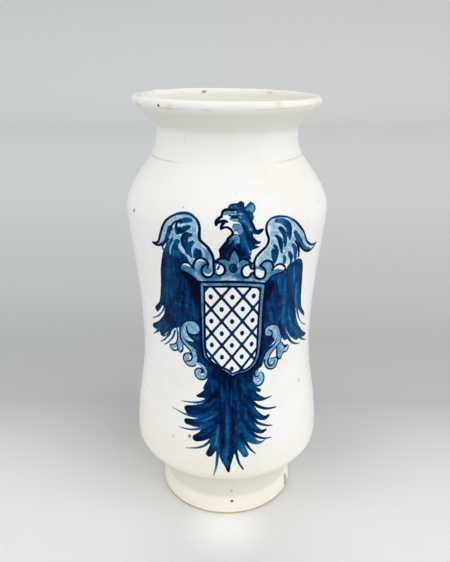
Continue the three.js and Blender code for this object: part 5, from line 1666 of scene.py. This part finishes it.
def worn(make, base, side, height, outside):
    """The glaze's age: iron spots, chips, and rubbed places where the clay shows through."""
    shape, marks = (outside_profile, MARKS) if outside else (inside_profile, INNER_MARKS)
    profile = shape(bpy.context.scene.albarello_sizes) / MM
    profile = profile[np.argsort(profile[:, 1])]
    ragged = make.noise(1.2, 2, 30)
    for angle, level, radius, share, shade in marks:
        reach, turn = np.interp(level, profile[:, 1], profile[:, 0]), math.radians(angle)
        place = (reach * math.sin(turn), -reach * math.cos(turn), level)
        edge = radius * (0.8 if radius > 1.9 and shade is CREAM else 0.35)
        base = make.tint(base, shade, make.spot(place, radius, edge, ragged), share)
    wide = make.step(make.maths("ABSOLUTE", side), *WORN_SIDES)
    broken = make.step(make.noise(16, 2, 31), 0.42, 0.55)
    for middle, half, share, at_sides in WORN_LINES if outside else ():
        far = make.maths("ABSOLUTE", make.minus(height, middle * MM))
        line = make.step(far, (half - SOFT_LINE) * MM, (half + SOFT_LINE) * MM, share, 0.0)
        base = make.tint(base, OCHRE, line, wide if at_sides else broken)
    return make.tint(base, OCHRE, make.step(height, *WORN_CREST, 0.0, 0.5), broken)


def tin_glaze(name, painted=False):
    """Opaque white glaze that pools and thins, with pinholes, iron specks and painted shade above the foot. The
    painted one also takes painted shade under the lip and the cobalt that the mesh carries; the other takes
    painted shade inside the jar."""
    make = Recipe(name)
    colours = bpy.context.scene.albarello_colours
    axes = make.node("ShaderNodeSeparateXYZ", {0: make.place})
    side, height = axes["X"], axes["Z"]
    cloud, drift = make.noise(34, 3, 1), make.noise(9, 3, 2)
    low = make.times(make.step(height, *LOW_CREAM, 0.75, 0.0), make.step(side, *LEFT_CREAM, 1.0, 0.5))
    cream = make.plus(make.step(cloud, 0.42, 0.72, 0.0, 0.55), low)
    cream = make.plus(cream, make.step(drift, 0.5, 0.75, 0.0, 0.18))
    base = make.mix(make.maths("MINIMUM", cream, 1.0), tuple(colours.white), tuple(colours.cream))
    speck, rare = make.noise(0.9, 1, 7), make.noise(11, 2, 8)
    base = make.tint(base, (130, 118, 100), make.step(speck, 0.74, 0.78), make.step(rare, 0.5, 0.62), 0.5)
    # Painted shade in the recess between the foot's flange and the belly
    foot_neck = make.step(height, *FOOT_SHADE_TO, 0.55, 0.0), make.step(height, *FOOT_SHADE_FROM)
    base = make.tint(base, (200, 200, 186), *foot_neck)
    if painted:
        # Painted shade under the lip, in the throat
        throat = make.step(height, *THROAT_SHADE_FROM), make.step(height, *THROAT_SHADE_TO, 0.5, 0.0)
        base = make.tint(base, (218, 222, 206), *throat)
    else:
        # Painted shade inside the jar, fading out at the lip's top
        base = make.tint(base, (222, 221, 208), make.step(height, *INSIDE_SHADE_TO, 0.85, 0.0))
    pin, pin_share = make.noise(1.3, 0, 9), make.noise(24, 2, 10)
    pinholes = make.times(make.step(pin, 0.16, 0.22, 1.0, 0.0), make.step(pin_share, 0.45, 0.6))
    base = make.tint(base, (170, 150, 122), pinholes, 0.4)
    base = worn(make, base, side, height, painted)
    if painted:
        base = cobalt(make, base)
    peel = make.noise(2.6, 1, 11)
    dips = make.minus(1.0, pinholes)
    rough = make.step(drift, 0.3, 0.7, 0.16, 0.26)
    return make.finish(base, rough, [(peel, 0.035), (dips, 0.06)], **{"Specular IOR Level": 0.05})


# Eight-bit greys of the paper, at shares of its depth from front to back: painted light falloff, brightest in
# front of the jar, with painted shade behind it
PAPER_FRONT, PAPER_BACK = -0.4, 1.6
PAPER_LIGHT_FALLOFF = (
    (0.0, 150), (0.05, 175), (0.12, 234), (0.17, 232), (0.2, 223), (0.22, 211), (0.25, 189), (0.31, 185),
    (0.4, 197), (0.64, 215), (1.0, 224),
)
# Soft shadows on the paper round the foot: place, radius and softness in millimetres, and share
PAPER_SHADOWS = (((0, -108, 0), 58, 52, 0.11), ((-80, 50, 0), 35, 75, 0.17), ((85, 30, 0), 35, 60, 0.11))
# A painted pool of light on the paper in front of the foot: place, radius and softness in millimetres, and its
# colour
PAPER_GLOW, GLOW_COLOUR = ((0, -57, 0), 20, 18), (0.93, 0.93, 0.94)


def plain_floor():
    """The pale paper that the jar stands on, with painted light falloff, painted shadows and a painted pool of
    light.
    """
    make = Recipe("pale_paper")
    axes = make.node("ShaderNodeSeparateXYZ", {0: make.place})
    span = {"Value": axes["Y"], "From Min": PAPER_FRONT, "From Max": PAPER_BACK}
    tone = make.node("ShaderNodeMapRange", span)[0]
    base = make.ramp(tone, [(place, linear((grey, grey, grey))) for place, grey in PAPER_LIGHT_FALLOFF])
    tint = make.mix(make.step(axes["X"], -0.35, 0.3), (0.965, 1, 1), (0.985, 1, 0.985))
    base = make.mix(make.step(axes["Y"], 0, 0.25), base, make.mix(1.0, base, tint, blend="MULTIPLY"))
    grain = make.noise(14, 3, 1)
    base = make.mix(make.step(grain, 0.3, 0.7, 0.0, 0.03), base, (0.6, 0.6, 0.6))
    for place, radius, soft, share in PAPER_SHADOWS:
        base = make.tint(base, (0, 0, 0), make.spot(place, radius, soft), share)
    base = make.mix(make.spot(*PAPER_GLOW), base, GLOW_COLOUR)
    return make.finish(base, 0.9)


# Steps, one for each piece and one for the stage

# The bake map: what the outer coat's hidden back counts against its face, and the painted front's width
BACK_SHARE, PAINTED_SHARE = 0.1, 0.75


def register_piece(piece, nodes):
    """Hangs the piece on the jar's body and hides the nodes that it stands in for."""
    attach(piece, BODY)
    for node in nodes:
        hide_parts(node)


class ALBARELLO_OT_clay(bpy.types.Operator):
    """Throw the pot"""

    bl_idname = "albarello.clay"
    bl_label = "Throw the pot"

    def execute(self, context):
        profile = clay_profile(context.scene.albarello_sizes)
        pot = throw("jar_clay", profile, even_shares(profile), fired_clay())
        register_piece(pot, ["earthenware_body"])
        return {"FINISHED"}


class ALBARELLO_OT_inner_coat(bpy.types.Operator):
    """Glaze the pot inside"""

    bl_idname = "albarello.inner_coat"
    bl_label = "Glaze the inside"

    def execute(self, context):
        profile = inner_coat_profile(context.scene.albarello_sizes)
        coat = throw("inner_coat", profile, even_shares(profile), tin_glaze("tin_glaze"))
        register_piece(coat, ["inner_glaze"])
        return {"FINISHED"}


class ALBARELLO_OT_outer_coat(bpy.types.Operator):
    """Glaze the pot outside and paint the eagle on its front"""

    bl_idname = "albarello.outer_coat"
    bl_label = "Glaze and paint the outside"

    def execute(self, context):
        profile, face = outer_coat_profile(context.scene.albarello_sizes)
        shares = even_shares(profile, np.where(np.arange(len(profile)) < face, BACK_SHARE, 1.0))
        glaze = tin_glaze("painted_glaze", painted=True)
        coat = throw("outer_coat", profile, shares, glaze, bake_front=PAINTED_SHARE)
        paint(coat.data)
        register_piece(coat, ["outer_glaze", *PAINTED_NODES])
        return {"FINISHED"}


def soft_light(name, place, aim, size_m, power):
    """A large square lamp at place, turned towards aim."""
    lamp = bpy.data.lights.new(name, "AREA")
    lamp.shape, lamp.size, lamp.energy = "SQUARE", size_m, power
    holder = bpy.data.objects.new(name, lamp)
    bpy.context.scene.collection.objects.link(holder)
    direction = np.array(aim, float) - np.array(place, float)
    holder.location = place
    run = math.hypot(direction[0], direction[1])
    holder.rotation_euler = (math.atan2(run, -direction[2]), 0, math.atan2(-direction[0], direction[1]))
    return holder


ROOM_BRIGHT, ROOM_DIM = 0.9, 0.7


def room_light(scene):
    """A pale room that is dimmer behind the viewer."""
    world = bpy.data.worlds.new("room")
    world.use_nodes = True
    make = Wiring(world.node_tree)
    ray = make.node("ShaderNodeTexCoord")["Generated"]
    facing = make.node("ShaderNodeVectorMath", {0: ray, 1: (0, -1, 0)}, operation="DOT_PRODUCT")["Value"]
    background = world.node_tree.nodes["Background"].inputs
    background["Color"].default_value = (1, 1, 1, 1)
    make.tree.links.new(make.step(facing, 0.1, 0.8, ROOM_BRIGHT, ROOM_DIM), background["Strength"])
    scene.world = world


# The paper's half width, how far back it runs and how round it bends up there, and its top, in metres
PAPER_HALF, PAPER_RUN, PAPER_BEND, PAPER_TOP, PAPER_START = 3.5, 2.2, 0.5, 3.0, -2.0

# Lamps: name, place in metres and power in watts. Both are squares turned towards the jar's middle.
LAMPS = (("window", (1.25, -1.4, 0.95), 18.5), ("wall", (-1.5, -1.25, 0.8), 9.5))
LAMP_AIM, LAMP_WIDTH = (0, 0, 0.14), 2.2

# The camera, with its focal length and the picture's height in pixels
CAMERA_PLACE, CAMERA_TILT = (-0.0012, -0.3808, 0.3052), 68.76
FOCAL_PIXELS, PICTURE_PIXELS, SENSOR_MM = 600, 562, 36


class ALBARELLO_OT_stage(bpy.types.Operator):
    """Stand the jar on pale paper, with its camera and lamps"""

    bl_idname = "albarello.stage"
    bl_label = "Set the stage"

    def execute(self, context):
        scene = context.scene
        scene.view_settings.view_transform = "Standard"
        turn = np.linspace(0, math.pi / 2, 25)
        bend = zip(PAPER_RUN + PAPER_BEND * np.sin(turn), PAPER_BEND - PAPER_BEND * np.cos(turn))
        side = [(PAPER_START, 0.0), *bend, (PAPER_RUN + PAPER_BEND, PAPER_TOP)]
        points = [(x, y, z) for y, z in side for x in (-PAPER_HALF, PAPER_HALF)]
        faces = [(2 * k, 2 * k + 1, 2 * k + 3, 2 * k + 2) for k in range(len(side) - 1)]
        mesh = bpy.data.meshes.new("paper")
        mesh.from_pydata(points, [], faces)
        mesh.polygons.foreach_set("use_smooth", [True] * len(faces))
        mesh.materials.append(plain_floor())
        floor = bpy.data.objects.new("paper", mesh)
        scene.collection.objects.link(floor)

        room_light(scene)
        for name, place, power in LAMPS:
            soft_light(name, place, LAMP_AIM, LAMP_WIDTH, power)

        lens = bpy.data.cameras.new("camera")
        lens.sensor_width, lens.sensor_fit = SENSOR_MM, "AUTO"
        lens.lens = FOCAL_PIXELS / PICTURE_PIXELS * SENSOR_MM
        lens.clip_start, lens.clip_end = 0.01, 50
        camera = bpy.data.objects.new("camera", lens)
        camera.location = CAMERA_PLACE
        camera.rotation_euler = (math.radians(CAMERA_TILT), 0, 0)
        scene.collection.objects.link(camera)
        scene.camera = camera
        return {"FINISHED"}


STEPS = (ALBARELLO_OT_clay, ALBARELLO_OT_inner_coat, ALBARELLO_OT_outer_coat, ALBARELLO_OT_stage)


class ALBARELLO_PT_panel(bpy.types.Panel):
    """Lists what can be changed and the steps that make the jar"""

    bl_label = "Albarello"
    bl_space_type = "VIEW_3D"
    bl_region_type = "UI"
    bl_category = "Albarello"

    def draw(self, context):
        for group in ("albarello_sizes", "albarello_hand", "albarello_colours"):
            settings = getattr(context.scene, group)
            box = self.layout.box()
            for name in settings.bl_rna.properties.keys():
                if name not in ("rna_type", "name"):
                    box.prop(settings, name)
        for step in STEPS:
            self.layout.operator(step.bl_idname)


CLASSES = (JarSizes, HandWork, GlazeColours, *STEPS, ALBARELLO_PT_panel)


def register():
    for cls in CLASSES:
        bpy.utils.register_class(cls)
    bpy.types.Scene.albarello_sizes = bpy.props.PointerProperty(type=JarSizes)
    bpy.types.Scene.albarello_hand = bpy.props.PointerProperty(type=HandWork)
    bpy.types.Scene.albarello_colours = bpy.props.PointerProperty(type=GlazeColours)


def unregister():
    del bpy.types.Scene.albarello_colours
    del bpy.types.Scene.albarello_hand
    del bpy.types.Scene.albarello_sizes
    for cls in reversed(CLASSES):
        bpy.utils.unregister_class(cls)


def main():
    register()
    bpy.ops.albarello.clay()
    bpy.ops.albarello.inner_coat()
    bpy.ops.albarello.outer_coat()
    bpy.ops.albarello.stage()


if __name__ == "__main__":
    main()
